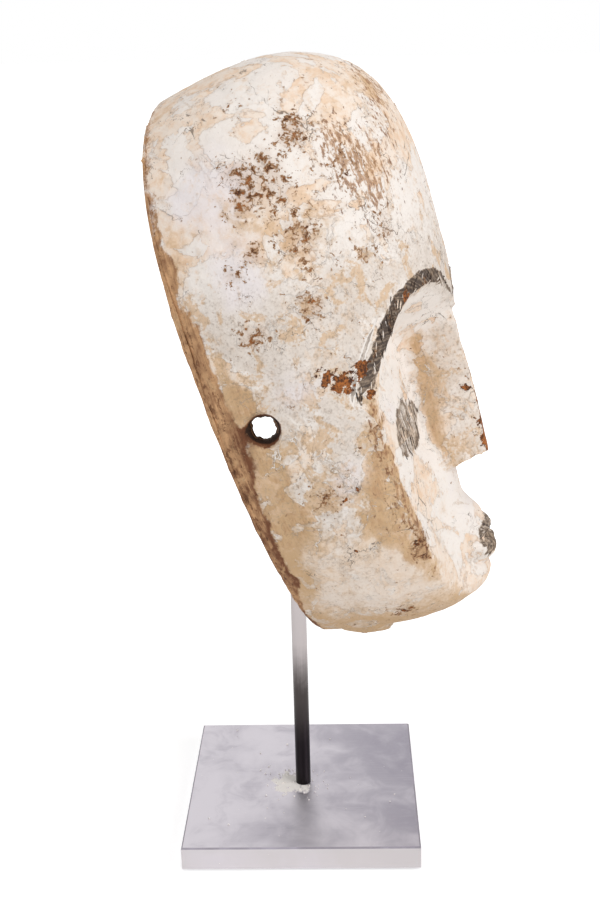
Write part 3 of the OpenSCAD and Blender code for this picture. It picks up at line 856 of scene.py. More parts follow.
class Layer(NamedTuple):
    """One coat of a material, with its colours and surface. Weights on patterns say where the coat lies
    and where it is light or dark, and the sums at which that starts and is whole are given beside them."""

    light: tuple
    dark: tuple
    cover: dict = {}
    start: float = 0.0
    whole: float = 1.0
    shade: dict = {}
    low: float = 0.0
    high: float = 1.0
    most: float = 1.0
    rough: float = 0.9
    rise: float = 0.0
    metal: float = 0.0


def noises(tree, table):
    """Noise patterns by name, from coordinates, size in millimetres, octaves, roughness and warp."""
    made = {}
    for name, vector, size, octaves, rough, warp in table:
        node = add(tree, "ShaderNodeTexNoise", {
            "Vector": vector, "Scale": 1 / (size * MM), "Detail": octaves,
            "Roughness": rough, "Distortion": warp})
        made[name] = node.outputs["Fac"]
    return made


def spread(tree, p, parts, low, high, most=1.0):
    """A socket that runs from 0 to most while a weighed sum of patterns runs from low to high."""
    total = weighed(tree, [(p[name], weight) for name, weight in parts.items()])
    return add(tree, "ShaderNodeMapRange", {0: total, 1: low, 2: high, 4: most},
               interpolation_type="SMOOTHSTEP").outputs[0]


def coated(material, p, layers, relief):
    """Lays coats over the first layer, and links their colour, roughness, metal and relief in millimetres."""
    tree = material.node_tree
    shader = tree.nodes["Principled BSDF"]
    tone, rough, metal, height = None, layers[0].rough, layers[0].metal, 0.0
    for coat in layers:
        depth = spread(tree, p, coat.shade, coat.low, coat.high)
        tones = {0: depth, 6: (*coat.light, 1), 7: (*coat.dark, 1)}
        paint = add(tree, "ShaderNodeMix", tones, data_type="RGBA").outputs[2]
        if tone is None:
            tone = paint
            continue
        cover = spread(tree, p, coat.cover, coat.start, coat.whole, coat.most)
        tone = add(tree, "ShaderNodeMix", {0: cover, 6: tone, 7: paint}, data_type="RGBA").outputs[2]
        rough = add(tree, "ShaderNodeMix", {0: cover, 2: rough, 3: coat.rough}).outputs[0]
        height = weighed(tree, [(cover, coat.rise)], height)
        if coat.metal != layers[0].metal:
            metal = add(tree, "ShaderNodeMix", {0: cover, 2: metal, 3: coat.metal}).outputs[0]
    height = weighed(tree, [(p[name], weight) for name, weight in relief.items()], height)
    bump = add(tree, "ShaderNodeBump", {"Height": height, "Distance": MM, "Strength": 0.9}).outputs[0]
    for name, value in (("Base Color", tone), ("Roughness", rough), ("Metallic", metal), ("Normal", bump)):
        if isinstance(value, bpy.types.NodeSocket):
            tree.links.new(value, shader.inputs[name])
        else:
            shader.inputs[name].default_value = value
    return material


def clay_patterns(m, tree, place):
    """Patterns of the mask's coat by name: noises, what its points keep, cracks, wrinkles and grooves."""
    upright = add(tree, "ShaderNodeMapping", {"Vector": place, "Rotation": (m.lean, 0, 0)}).outputs[0]
    strokes = add(tree, "ShaderNodeAttribute", attribute_name="strokes").outputs["Vector"]
    grain = add(tree, "ShaderNodeMapping", {"Vector": upright, "Scale": (1, 1, 0.07)}).outputs[0]
    streak = add(tree, "ShaderNodeMapping", {"Vector": upright, "Scale": (1, 0.75, 0.9)}).outputs[0]
    aside = add(tree, "ShaderNodeMapping", {"Vector": upright, "Location": (0.31, 0.17, 0.23)}).outputs[0]
    hatch = add(tree, "ShaderNodeMapping", {"Vector": strokes, "Scale": (1, HATCH_LONG, 1)}).outputs[0]
    dash = add(tree, "ShaderNodeMapping", {"Vector": upright, "Scale": (1, 1, 0.38)}).outputs[0]
    rake = add(tree, "ShaderNodeMapping", {"Vector": upright, "Scale": (0.3, 0.15, 1)}).outputs[0]
    p = noises(tree, (
        ("patch", upright, 46, 4, 0.55, 0.6), ("bloom", upright, 22, 6, 0.62, 0.7),
        ("mottle", upright, 7, 6, 0.65, 0.4), ("flake", upright, 24, 7, 0.52, 0.7),
        ("scab", aside, 11, 7, 0.56, 0.6), ("scale", upright, 4, 5, 0.62, 0.3),
        ("speck", streak, 2.6, 5, 0.68, 0.4), ("fine", upright, 1.2, 3, 0.6, 0.0),
        ("pepper", aside, 1.1, 2, 0.5, 0.0), ("break", aside, 20, 3, 0.5, 0.0),
        ("grain", grain, 1.5, 4, 0.6, 0.4), ("hatch", hatch, 1.7, 4, 0.65, 0.3),
        ("cluster", aside, 10, 3, 0.55, 0.3), ("drift", aside, 12, 4, 0.6, 0.0),
        ("wash", aside, 17, 6, 0.65, 0.5), ("dash", dash, 1.8, 4, 0.65, 0.3),
        ("fold", upright, 15, 5, 0.55, 0.5), ("rake", rake, 1.6, 4, 0.65, 0.3),
    ))
    for name in ("hollow", "bare", "soot", "worn", "cool", "stain", "film", "dusty", "black", "dashed",
                 "gouged"):
        p[name] = add(tree, "ShaderNodeAttribute", attribute_name=name).outputs["Fac"]
    # Hairlines follow the edges of warped cells 30 mm wide, up to half a millimetre wide, and break off
    wander = weighed(tree, [(p["drift"], 0.05)], -0.025)
    bent = add(tree, "ShaderNodeVectorMath", {0: upright, 1: wander}, operation="ADD").outputs[0]
    cells = add(tree, "ShaderNodeTexVoronoi", {"Vector": bent, "Scale": 1 / (30 * MM)},
                feature="DISTANCE_TO_EDGE").outputs["Distance"]
    width = weighed(tree, [(p["break"], 0.1)], -0.052)
    narrow = add(tree, "ShaderNodeMath", {0: width, 1: 0.008}, operation="MINIMUM").outputs[0]
    p["hairline"] = add(tree, "ShaderNodeMath", {0: narrow, 1: cells}, operation="SUBTRACT").outputs[0]
    # Wrinkles follow a contour of a folded pattern, and their shadows the contour beside it
    for name, level in (("ridge", 0.5), ("under", 0.522)):
        off = add(tree, "ShaderNodeMath", {0: p["fold"], 1: level}, operation="SUBTRACT").outputs[0]
        away = add(tree, "ShaderNodeMath", {0: off}, operation="ABSOLUTE").outputs[0]
        p[name] = add(tree, "ShaderNodeMath", {0: 0.5, 1: away}, operation="SUBTRACT").outputs[0]
    # A groove that is only painted, with no cut in the wood, runs beside each brow: its attribute has the
    # distance from it and its half width, in mm
    beside = add(tree, "ShaderNodeAttribute", attribute_name="groove").outputs["Vector"]
    beside = add(tree, "ShaderNodeSeparateXYZ", {0: beside}).outputs
    wave = weighed(tree, [(p["mottle"], 2.4)], -1.2)
    shift = add(tree, "ShaderNodeMath", {0: beside[0], 1: wave}, operation="ADD").outputs[0]
    gap = add(tree, "ShaderNodeMath", {0: shift}, operation="ABSOLUTE").outputs[0]
    p["groove"] = add(tree, "ShaderNodeMath", {0: beside[1], 1: gap}, operation="SUBTRACT").outputs[0]
    return p


def clay_coats(c):
    """The mask's coats, from the clay in the wood up to the chips in it, and the bare hollow."""
    chips = dict(speck=1.0, worn=0.16, cluster=0.2, fine=0.3)
    rubbed = dict(flake=1.0, film=0.16, cool=0.05, stain=-0.16, scale=0.15)
    return (
        # Clay that soaked into the wood
        Layer(c.cream, c.peach, shade=dict(mottle=0.7, bloom=0.3, scale=0.35), low=0.58, high=0.82,
              rough=0.93),
        # Stains from the wood and from handling, and painted shade in the valleys beside the nose and on its
        # flanks
        Layer(c.peach, c.ochre, dict(bloom=0.6, mottle=0.5, scale=0.3, stain=0.34), 0.78, 1.1,
              dict(mottle=0.9, stain=0.4, scale=0.5), 0.65, 1.3, 0.95, 0.9, -0.03),
        Layer(c.ochre, c.halo, dict(stain=0.5, grain=0.5, scale=0.4, mottle=0.3), 0.94, 1.2,
              dict(grain=1.0, fine=0.5), 0.55, 0.95, 0.85, 0.85, -0.05),
        # A coat rubbed on later, with a painted shadow line just outside its flaked edges, pale raised edges
        # where it has flaked, and spots that it has lost
        Layer(c.halo, c.crack_dirt_and_shade, dict(rubbed, fine=0.14, wash=0.12), 0.71, 0.735,
              dict(film=0.5, scale=1.0), 0.4, 0.9, 0.32, 0.95, -0.1),
        Layer(c.white, c.white, rubbed, 0.596, 0.612, most=0.9, rough=0.95, rise=0.25),
        # On the nose's flanks this grey film is painted shade
        Layer(c.white, c.film, rubbed, 0.62, 0.67, dict(film=0.5, mottle=0.5, fine=0.4, bloom=0.4),
              0.8, 1.3, 0.85, 0.95, -0.05),
        Layer(c.peach, c.ochre, dict(scab=1.0, film=0.1, stain=0.06, fine=0.2, scale=0.2),
              0.85, 0.92, dict(scale=0.7, film=0.4), 0.35, 0.95, 0.8, 0.92, -0.12),
        Layer(c.white, c.lilac, dict(patch=0.5, cool=0.3, bloom=0.35), 0.52, 0.72,
              dict(cool=1.0), 0.1, 0.7, 0.75, 0.95, 0.03),
        # Beige dust on the chin, and painted shade on the nose's flanks
        Layer(c.beige, c.ochre, dict(dusty=1.0, mottle=0.5, scale=0.3), 0.5, 1.3,
              dict(bloom=0.8, fine=0.4, stain=0.3), 0.62, 1.1, 0.72, 0.95, -0.02),
        Layer(c.white, c.film, dict(scab=1.0, dusty=0.1, scale=0.15), 0.74, 0.765,
              dict(mottle=1.0, fine=0.5), 0.55, 0.9, 0.7, 0.95, 0.15),
        Layer(c.film, c.crack_dirt_and_shade, dict(rake=1.0, dusty=0.1, fine=0.2), 0.82, 0.92,
              dict(fine=1.0), 0.4, 0.7, 0.55, 0.95, -0.1),
        # Tints and grime in the finest hollows
        Layer(c.peach, c.ochre, dict(scale=0.7, wash=0.6, stain=0.12), 0.64, 0.92,
              dict(stain=0.5, wash=1.0), 0.3, 1.0, 0.7, 0.93, -0.05),
        Layer(c.film, c.crack_dirt_and_shade, dict(fine=0.7, scale=0.5, film=0.08), 0.64, 0.95,
              dict(film=0.4, fine=1.0), 0.4, 1.1, 0.55, 0.95, -0.03),
        Layer(c.crack_dirt_and_shade, c.crack_dirt_and_shade, dict(hairline=1.0), 0.0, 0.003, most=0.8, rough=0.95, rise=-0.15),
        # The painted groove: a pale line with a painted shadow along its middle
        Layer(c.white, c.white, dict(groove=1.0), 0.0, 0.3, most=0.9, rough=0.95, rise=-0.2),
        Layer(c.film, c.crack_dirt_and_shade, dict(groove=1.0, scale=0.8), 1.25, 1.45,
              dict(scale=1.0), 0.3, 0.6, 0.8, 0.95, -0.2),
        # Wrinkles, each with a shadow beside it
        Layer(c.film, c.crack_dirt_and_shade, dict(under=15.0, wash=1.0, film=0.1), 8.06, 8.2, dict(scale=1.0), 0.4, 0.7,
              0.6, 0.95, -0.2),
        Layer(c.white, c.white, dict(ridge=15.0, wash=1.0, film=0.1), 8.06, 8.16, most=0.9, rough=0.95,
              rise=0.3),
        # Tiny dark dots, more of them where the coat is worn
        Layer(c.wood_dark, c.crack_dirt_and_shade, dict(pepper=1.0, worn=0.08, cluster=0.2), 0.845, 0.87,
              dict(bloom=1.0), 0.4, 0.6, 0.8, 0.9, -0.1),
        # Wood that tints the clay round the chips, and streaks where tools and hands have rubbed
        Layer(c.ochre, c.halo, dict(cluster=0.4, worn=0.4, mottle=0.5), 0.66, 1.0,
              dict(worn=0.5, mottle=0.6), 0.4, 0.8, 0.4, 0.85, -0.05),
        Layer(c.halo, c.rim_dark, dict(dash=1.0, dashed=0.2, fine=0.15), 0.75, 0.84,
              dict(dash=1.0, fine=0.4), 0.74, 0.92, 0.85, 0.8, -0.12),
        # Bare wood of the rim, with clay left in its grain, and soot
        Layer(c.rim_light, c.rim_dark, dict(bare=0.9, grain=0.25, bloom=0.3, scale=0.5, fine=0.3),
              0.97, 1.2, dict(grain=0.55, bloom=0.5, mottle=0.5, soot=0.4), 0.6, 1.02, 1.0, 0.62, -0.12),
        Layer(c.rim_dark, c.wood_dark, dict(bare=0.35, dash=1.0, fine=0.3), 1.03, 1.12,
              dict(dash=1.0, bloom=0.5), 0.8, 1.0, 0.75, 0.7, -0.1),
        Layer(c.ochre, c.rim_light, dict(bare=0.25, scab=0.8, grain=0.35), 0.86, 0.95,
              dict(grain=1.0), 0.35, 0.65, 0.7, 0.8, 0.05),
        # Soot round the cord holes, and painted shade inside them
        Layer(c.rim_dark, c.soot, dict(soot=1.0), 0.25, 0.9, dict(soot=1.0), 0.5, 1.0, 0.95, 0.8, -0.1),
        # Charcoal, with brown spots
        Layer(c.ash, c.charcoal, dict(black=0.9, hatch=0.6, fine=0.2, scale=0.2), 1.12, 1.3,
              dict(hatch=1.0, fine=0.4, black=1.0), 1.48, 1.76, 0.95, 0.85, -0.05),
        Layer(c.halo, c.wood_dark, dict(black=0.5, scale=1.0, fine=0.3), 1.22, 1.32,
              dict(fine=1.0), 0.4, 0.6, 0.8, 0.8, -0.1),
        # Chips with dark hearts, some with fresh wood in them, and gouges down to fresh wood
        Layer(c.halo, c.wood_dark, chips, 0.93, 0.955, chips, 0.95, 1.06, 1.0, 0.7, -0.25),
        Layer(c.wood_light, c.wood_light, dict(chips, scale=0.5), 1.29, 1.33, most=0.6, rough=0.7, rise=-0.1),
        Layer(c.wood_light, c.wood_dark, dict(gouged=0.4, scale=1.2, fine=0.4, speck=0.8), 1.56, 1.6,
              dict(grain=0.6, fine=0.8, speck=0.6), 0.86, 1.15, 1.0, 0.7, -0.3),
        Layer(c.hollow_light, c.hollow_dark, dict(hollow=1.0), 0.4, 0.6,
              dict(grain=0.6, bloom=0.5), 0.4, 0.75, 1.0, 0.7, -0.1),
    )


def kaolin_over_wood(m, c):
    """Kaolin rubbed on carved softwood, then worn: a chalky coat in flaking layers, cracked and stained,
    that lets brown wood through in chips and along the handled rim, with charcoal rubbed into it."""
    material, tree, place = new_material("kaolin over carved wood", Specular_IOR_Level=0.25)
    patterns = clay_patterns(m, tree, place)
    return coated(material, patterns, clay_coats(c), dict(scale=0.4, fine=0.16, grain=0.1))


def charcoal_strokes(c):
    """Charcoal drawn on clay: dull black lines, brown where they are thin."""
    material, tree, place = new_material("charcoal", Specular_IOR_Level=0.2)
    p = noises(tree, (("tint", place, 4, 3, 0.6, 0.0), ("grit", place, 0.8, 2, 0.6, 0.0)))
    layers = (Layer(c.stroke, c.charcoal, shade=dict(tint=1.0), low=0.4, high=0.7),
              Layer(c.halo, c.wood_dark, dict(tint=1.0, grit=0.3), 0.74, 0.8, dict(grit=1.0), 0.4, 0.6))
    return coated(material, p, layers, dict(grit=0.2))


def fallen_clay(s):
    """Crumbs of kaolin: chalky, off-white, grey where they picked up oil."""
    material, tree, place = new_material("fallen kaolin", Specular_IOR_Level=0.2)
    p = noises(tree, (("tint", place, 4, 3, 0.6, 0.0), ("grit", place, 0.4, 2, 0.6, 0.0)))
    layers = (Layer(s.dust, s.steel, shade=dict(tint=1.0), low=0.45, high=0.8, rough=0.95),)
    return coated(material, p, layers, dict(grit=0.1))


def waxed_steel(s):
    """Waxed hot-rolled steel: a grey plate with cloudy smudges, painted shade that darkens it towards one
    side, fine lines from rolling, a dull gleam, a painted dark reflection along its bevel, and clay dust
    where the mask has shed it round the post."""
    material, tree, place = new_material("waxed hot-rolled steel")
    square = add(tree, "ShaderNodeMapping", {"Vector": place, "Rotation": (0, 0, -s.base_turn)}).outputs[0]
    rolled = add(tree, "ShaderNodeMapping", {"Vector": square, "Scale": (1, 0.02, 1)}).outputs[0]
    p = noises(tree, (
        ("cloud", square, 55, 4, 0.55, 0.5), ("smudge", square, 16, 6, 0.6, 0.8),
        ("line", rolled, 0.9, 3, 0.6, 0.0), ("speck", place, 2.6, 3, 0.6, 0.0),
        ("ragged", place, 5, 6, 0.65, 0.2),
    ))
    split = add(tree, "ShaderNodeSeparateXYZ", {0: square}).outputs
    p["across"] = split["Y"]
    sides = [add(tree, "ShaderNodeMath", {0: split[axis]}, operation="ABSOLUTE").outputs[0] for axis in "XY"]
    p["outward"] = add(tree, "ShaderNodeMath", {0: sides[0], 1: sides[1]}, operation="MAXIMUM").outputs[0]
    side = s.plate_side / 2 / MM
    bevel = side - s.plate_bevel / MM
    level = add(tree, "ShaderNodeCombineXYZ", {"X": split["X"], "Y": split["Y"]}).outputs[0]
    centre = (-0.15 * s.dust_reach, 0.5 * s.dust_reach, 0.0)
    p["from_foot"] = add(tree, "ShaderNodeVectorMath", {0: level, 1: centre},
                         operation="DISTANCE").outputs["Value"]
    layers = (
        # Painted shade: the plate darkens towards its -Y side, under cloudy smudges
        Layer(s.steel, s.steel_smudges_and_shade, shade=dict(cloud=0.8, smudge=0.5, line=0.05, across=-3.4),
              low=0.45, high=1.05, rough=0.42, metal=1.0),
        Layer(s.steel_smudges_and_shade, s.steel, dict(smudge=1.0, cloud=0.3), 0.66, 0.85, dict(line=1.0), 0.0, 1.0,
              0.4, 0.5, 0.0, 1.0),
        # A painted dark reflection along the bevel
        Layer(s.steel_bevel_shade, s.steel_smudges_and_shade, dict(outward=1 / MM), bevel - 0.1, bevel + 0.1,
              dict(smudge=1.0), 0.4, 0.8, 0.85, 0.5, 0.0, 1.0),
        Layer(s.steel_sawn, s.steel, dict(outward=1 / MM), side - 0.06, side - 0.03,
              dict(cloud=1.0), 0.4, 0.8, 0.85, 0.45, 0.0, 1.0),
        Layer(s.dust, s.dust, dict(ragged=0.9, from_foot=-0.45 / s.dust_reach), 0.08, 0.2,
              most=0.95, rough=0.95, rise=0.1),
        Layer(s.dust, s.steel, dict(speck=1.0, cloud=0.2), 0.845, 0.865, most=0.8, rough=0.95, rise=0.1),
    )
    return coated(material, p, layers, dict(line=0.01, smudge=0.03))


def dark_to_bright_steel(s):
    """Drawn steel, near black at the plate and bright above, with dark spots and fine lines along it from
    drawing."""
    material, tree, place = new_material("blackened drawn steel")
    drawn = add(tree, "ShaderNodeMapping", {"Vector": place, "Scale": (1, 1, 0.02)}).outputs[0]
    p = noises(tree, (("line", drawn, 0.8, 3, 0.6, 0.0), ("worn", place, 9, 5, 0.6, 0.3)))
    p["up"] = add(tree, "ShaderNodeSeparateXYZ", {0: place}).outputs["Z"]
    rise = 1 / (s.post_bright_height - s.post_middle_height)
    span = dict(up=rise, worn=0.5, line=0.3)
    low = s.post_middle_height * rise + 0.4
    dimming = 1 / (s.post_middle_height - s.post_dark_height)
    start = s.post_dark_height * dimming + 0.25
    # Darker towards the plate, bright above
    layers = (Layer(s.post_dark, s.post_middle, shade=dict(up=dimming, worn=0.5), low=start, high=start + 1.0,
                    rough=0.32, metal=1.0),
              Layer(s.post_bright, s.post_bright, span, low, low + 1.0, rough=0.32, metal=1.0),
              Layer(s.post_dark, s.post_bright, dict(worn=1.0, line=0.4), 0.86, 0.95, span, low, low + 1.0,
                    0.5, 0.5, 0.0, 1.0))
    return coated(material, p, layers, dict(line=0.012, worn=0.01))


def drawn_steel(s):
    """Bright drawn steel: pale grey with fine lines and faint brown spots."""
    material, tree, place = new_material("bright drawn steel")
    p = noises(tree, (("line", place, 0.7, 3, 0.6, 0.0), ("spot", place, 6, 5, 0.6, 0.2)))
    layers = (Layer(s.post_bright, s.steel_smudges_and_shade, shade=dict(spot=1.0, line=0.3), low=0.5, high=0.8,
                    rough=0.3, metal=1.0),
              Layer(s.steel_smudges_and_shade, s.post_dark, dict(spot=1.0, line=0.2), 0.72, 0.8, dict(line=1.0), 0.4, 0.6,
                    0.5, 0.5, 0.0, 1.0))
    return coated(material, p, layers, dict(line=0.012))


def moulded_rubber(s):
    """Moulded black rubber: matt, with the bloom and dust that it gathers."""
    material, tree, place = new_material("moulded black rubber", Specular_IOR_Level=0.35)
    p = noises(tree, (("bloom", place, 5, 5, 0.6, 0.3), ("grit", place, 0.5, 2, 0.6, 0.0)))
    layers = (Layer(s.rubber, s.rubber_dust, shade=dict(bloom=0.8, grit=0.4), low=0.5, high=0.95, rough=0.62),
              Layer(s.rubber_dust, s.dust, dict(grit=1.0, bloom=0.4), 0.9, 0.95, dict(bloom=1.0), 0.4, 0.7,
                    0.6, 0.95, 0.02))
    return coated(material, p, layers, dict(grit=0.05, bloom=0.05))


def wool_felt(s):
    """Pressed wool felt: short fibres lying every way, matt and soft. They are drawn about twice as coarse
    as wool is, to show."""
    material, tree, place = new_material("pressed wool felt", Specular_IOR_Level=0.1, Sheen_Weight=0.3)
    fibres = []
    for i, turn in enumerate((0.3, 1.4, 2.5)):
        lying = {"Vector": place, "Rotation": (0, 0, turn), "Scale": (1, 0.1, 1)}
        lie = add(tree, "ShaderNodeMapping", lying).outputs[0]
        fibres.append((f"fibre_{i}", lie, 0.35, 2, 0.6, 0.6))
    p = noises(tree, (*fibres, ("tuft", place, 7, 4, 0.6, 0.3)))
    parts = dict(fibre_0=0.5, fibre_1=0.5, fibre_2=0.5, tuft=0.4)
    layers = (Layer(s.felt, s.felt_pale, shade=parts, low=0.8, high=1.1, rough=0.97),
              Layer(s.felt_pale, s.dust, parts, 1.16, 1.25, dict(tuft=1.0), 0.3, 0.9, 0.5, 1.0, 0.05))
    return coated(material, p, layers, dict(fibre_0=0.2, fibre_1=0.2, fibre_2=0.2))


# Name of the nodes that set small things on a surface, and the kind of each of their inputs
SCATTER = "scatter on a surface"
SCATTER_INPUTS = {
    "Surface": "Geometry", "Thing": "Object", "Where": "String", "Way": "String",
    "Each Square Metre": "Float",
    "Least Size": "Float", "Most Size": "Float", "Turn Aside": "Float", "Lift": "Float", "Seed": "Int",
    "Material": "Material",
}


def scatter_tree():
    """Nodes that set copies of a small thing on a surface, where one attribute says and along another."""
    tree = bpy.data.node_groups.new(SCATTER, "GeometryNodeTree")
    for name, kind in SCATTER_INPUTS.items():
        tree.interface.new_socket(name, in_out="INPUT", socket_type="NodeSocket" + kind)
    tree.interface.new_socket("Things", in_out="OUTPUT", socket_type="NodeSocketGeometry")
    given = add(tree, "NodeGroupInput").outputs
    where = add(tree, "GeometryNodeInputNamedAttribute", {"Name": given["Where"]},
                data_type="FLOAT").outputs[0]
    way = add(tree, "GeometryNodeInputNamedAttribute", {"Name": given["Way"]},
              data_type="FLOAT_VECTOR").outputs[0]
    often = add(tree, "ShaderNodeMath", {0: where, 1: given["Each Square Metre"]},
                operation="MULTIPLY").outputs[0]
    spots = add(tree, "GeometryNodeDistributePointsOnFaces", {
        "Mesh": given["Surface"], "Density": often, "Seed": given["Seed"]}).outputs
    chance = add(tree, "FunctionNodeRandomValue", {
        0: (-1, -1, -1), 1: (1, 1, 1), "Seed": given["Seed"]}, data_type="FLOAT_VECTOR").outputs[0]
    aside = add(tree, "ShaderNodeVectorMath", {0: chance, "Scale": given["Turn Aside"]},
                operation="SCALE").outputs[0]
    along = add(tree, "ShaderNodeVectorMath", {0: way, 1: aside}, operation="ADD").outputs[0]
    flat = add(tree, "FunctionNodeAlignRotationToVector", {"Vector": spots["Normal"]}, axis="Z").outputs[0]
    turned_to = add(tree, "FunctionNodeAlignRotationToVector", {"Rotation": flat, "Vector": along}, axis="X",
                    pivot_axis="Z").outputs[0]
    size = add(tree, "FunctionNodeRandomValue", {
        2: given["Least Size"], 3: given["Most Size"], "Seed": given["Seed"]}, data_type="FLOAT").outputs[1]
    lift = add(tree, "ShaderNodeVectorMath", {0: spots["Normal"], "Scale": given["Lift"]},
               operation="SCALE").outputs[0]
    raised = add(tree, "GeometryNodeSetPosition", {"Geometry": spots["Points"], "Offset": lift}).outputs[0]
    thing = add(tree, "GeometryNodeObjectInfo", {"Object": given["Thing"]}).outputs["Geometry"]
    copies = add(tree, "GeometryNodeInstanceOnPoints", {
        "Points": raised, "Instance": thing, "Rotation": turned_to, "Scale": size}).outputs[0]
    whole = add(tree, "GeometryNodeRealizeInstances", {"Geometry": copies}).outputs[0]
    made = add(tree, "GeometryNodeSetMaterial", {"Geometry": whole, "Material": given["Material"]}).outputs[0]
    add(tree, "NodeGroupOutput", {"Things": made})
    return tree


def scattered(name, surface, thing, material, **values):
    """A new piece of copies of a small thing, which is then removed, set on a copy of a surface's mesh."""
    piece = bpy.data.objects.new(name, surface.copy())
    bpy.context.scene.collection.objects.link(piece)
    tree = bpy.data.node_groups.get(SCATTER) or scatter_tree()
    setting = piece.modifiers.new("scatter", "NODES")
    setting.node_group = tree
    sockets = {item.name: item.identifier for item in tree.interface.items_tree if item.in_out == "INPUT"}
    for key, value in {"Thing": thing, "Material": material, **values}.items():
        setting[sockets[key.replace("_", " ")]] = value
    baked(piece)
    removed(thing)
    return finished(piece, material)


def plate_shape(name, outline_points, thick, curl):
    """A thin closed plate of an outline, that curls up along its length."""
    count = len(outline_points)
    points = []
    for wide, level in ((1.0, 0.5), (0.8, -0.5)):
        points += [(wide * x, wide * y, level * thick + curl * x * x) for x, y in outline_points]
    faces = [tuple(range(count)), tuple(range(2 * count - 1, count - 1, -1))]
    faces += [(i, i + count, (i + 1) % count + count, (i + 1) % count) for i in range(count)]
    return mesh_object(name, points, faces)


def flake():
    """A chip of clay with a ragged edge, about one unit across."""
    turns = [2 * math.pi * i / 9 for i in range(9)]
    reach = [0.5 + 0.09 * math.sin(2 * t + 0.6) + 0.1 * math.sin(5 * t) for t in turns]
    edge = [(r * math.cos(t), 0.8 * r * math.sin(t)) for r, t in zip(reach, turns)]
    return plate_shape("flake", edge, 0.09, 0.12)


def stroke():
    """One stroke of charcoal, one unit long, thin at both ends."""
    stations = (-0.5, -0.3, 0.05, 0.3)
    upper = [(-x, 0.07 * math.sqrt(1 - 4 * x * x) + 0.04 * x) for x in stations]
    lower = [(x, -0.07 * math.sqrt(1 - 4 * x * x) + 0.04 * x) for x in stations]
    return plate_shape("stroke", lower + upper, 0.04, 0.0)


def crumb():
    """A crumb of clay, about one unit across: a squat lump with six sides."""
    rings, sides = ((0.28, 0.0), (0.5, 0.2), (0.42, 0.42), (0.16, 0.55)), 6
    points = []
    for j, (radius, level) in enumerate(rings):
        for i in range(sides):
            turn = 2 * math.pi / sides * (i + 0.5 * j)
            out = radius * (1 + 0.18 * math.sin(3.1 * i + 1.7 * j))
            points.append((out * math.cos(turn), 0.8 * out * math.sin(turn), level))
    ends = [tuple(range(sides))[::-1], tuple(range(len(points) - sides, len(points)))]
    return mesh_object("crumb", points, ends + tube(len(rings), sides))


def turned(name, profile, middle, along, sides=56):
    """A piece turned about an axis, from distances along it and radii, closed flat at both ends."""
    axis = along.normalized()
    across = axis.orthogonal().normalized()
    other = axis.cross(across)
    points = []
    for step, radius in profile:
        for i in range(sides):
            turn = 2 * math.pi * i / sides
            points.append(middle + axis * step + (across * math.cos(turn) + other * math.sin(turn)) * radius)
    last = (len(profile) - 1) * sides
    ends = [tuple(range(sides))[::-1], tuple(range(last, last + sides))]
    return mesh_object(name, points, ends + tube(len(profile), sides))


def rubber_tip(s, node, rod, along):
    """A rubber ball with a moulding line and a blind hole for its rod's end."""
    low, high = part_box(node)
    ball = (high.z - low.z) / 2 if abs(along.x) > 0.5 else (high.x - low.x) / 2
    # The ball's far side is whole, so its middle lies one radius inside the box there
    middle = (low + high) / 2
    shift = along * ball
    if abs(along.x) > 0.5:
        middle.x = (high.x if along.x > 0 else low.x) - shift.x
    else:
        middle.y = low.y + ball
        middle.z = high.z - ball
    grip = s.tip_grip - ball
    first = math.asin(rod / ball)
    profile = [(grip, 0.02 * rod), (grip, rod), (0.4 * grip - 0.6 * ball * math.cos(first), rod)]
    # The ball's rings run from the edge of its hole to just short of its far end
    count, last = 40, math.radians(178)
    for i in range(count + 1):
        turn = first + (last - first) * i / count
        step = -ball * math.cos(turn)
        profile.append((step, ball * math.sin(turn) + s.tip_seam * math.exp(-(step / (0.3 * MM)) ** 2)))
    return smoothed(turned(node + "_ball", profile, middle, along), 50)


def felt_pad(s):
    """A square of felt with a wavering cut edge."""
    low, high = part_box("base_felt")
    thick, half, rows = high.z - low.z, s.felt_side / 2, 64
    step = np.linspace(-half, half, rows + 1)
    x, y = (g.ravel() for g in np.meshgrid(step, step))
    waver = s.felt_waver * (0.5 + 0.5 * fractal(np.stack([x, y, 0 * x], 1), 6 * MM, 3, 31))
    shrink = 1 - np.clip(waver, 0, s.felt_waver) / half
    edge = np.maximum(np.abs(x), np.abs(y)) > half - MM / 2
    x, y = (np.where(edge, g * shrink, g) for g in (x, y))
    nap = 0.06 * MM * fractal(np.stack([x, y, 0 * x], 1), 3 * MM, 2, 32)
    top = np.stack([x, y, low.z + thick - np.maximum(0, nap)], 1)
    bottom = np.stack([x, y, np.full_like(x, low.z)], 1)
    ring = net_edge(rows)
    waist = np.stack([x[ring] * 1.003, y[ring] * 1.003, np.full(len(ring), low.z + thick / 2)], 1)
    points = np.concatenate([top, bottom, waist])
    c, n = (math.cos(s.base_turn), math.sin(s.base_turn))
    points[:, :2] = points[:, :2] @ np.array([[c, n], [-n, c]])
    faces = list(net_faces(rows, 0, False)) + list(net_faces(rows, len(top), True))
    around = 2 * len(top) + np.arange(len(ring))
    for a, b in ((ring, around), (around, len(top) + ring)):
        faces += [(a[i], b[i], b[(i + 1) % len(b)], a[(i + 1) % len(a)]) for i in range(len(a))]
    return smoothed(mesh_object("felt_pad", points, faces), 40)


def dusty_ring(s):
    """A flat square round the post's foot, with an attribute that says where clay crumbs lie on it."""
    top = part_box("base_plate")[1].z
    reach, rows = 4 * s.dust_reach, 40
    step = np.linspace(-reach, reach, rows + 1)
    x, y = (g.ravel() for g in np.meshgrid(step, step))
    square = mesh_object("dusty_ring", np.stack([x, y, np.full_like(x, top)], 1), net_faces(rows, 0, False))
    clear = smooth((np.hypot(x, y) - 5 * MM) / MM)
    near = np.exp(-(x ** 2 + (y - 0.3 * s.dust_reach) ** 2) / s.dust_reach ** 2)
    store(square.data, "where", clear * (near + 0.02))
    return square


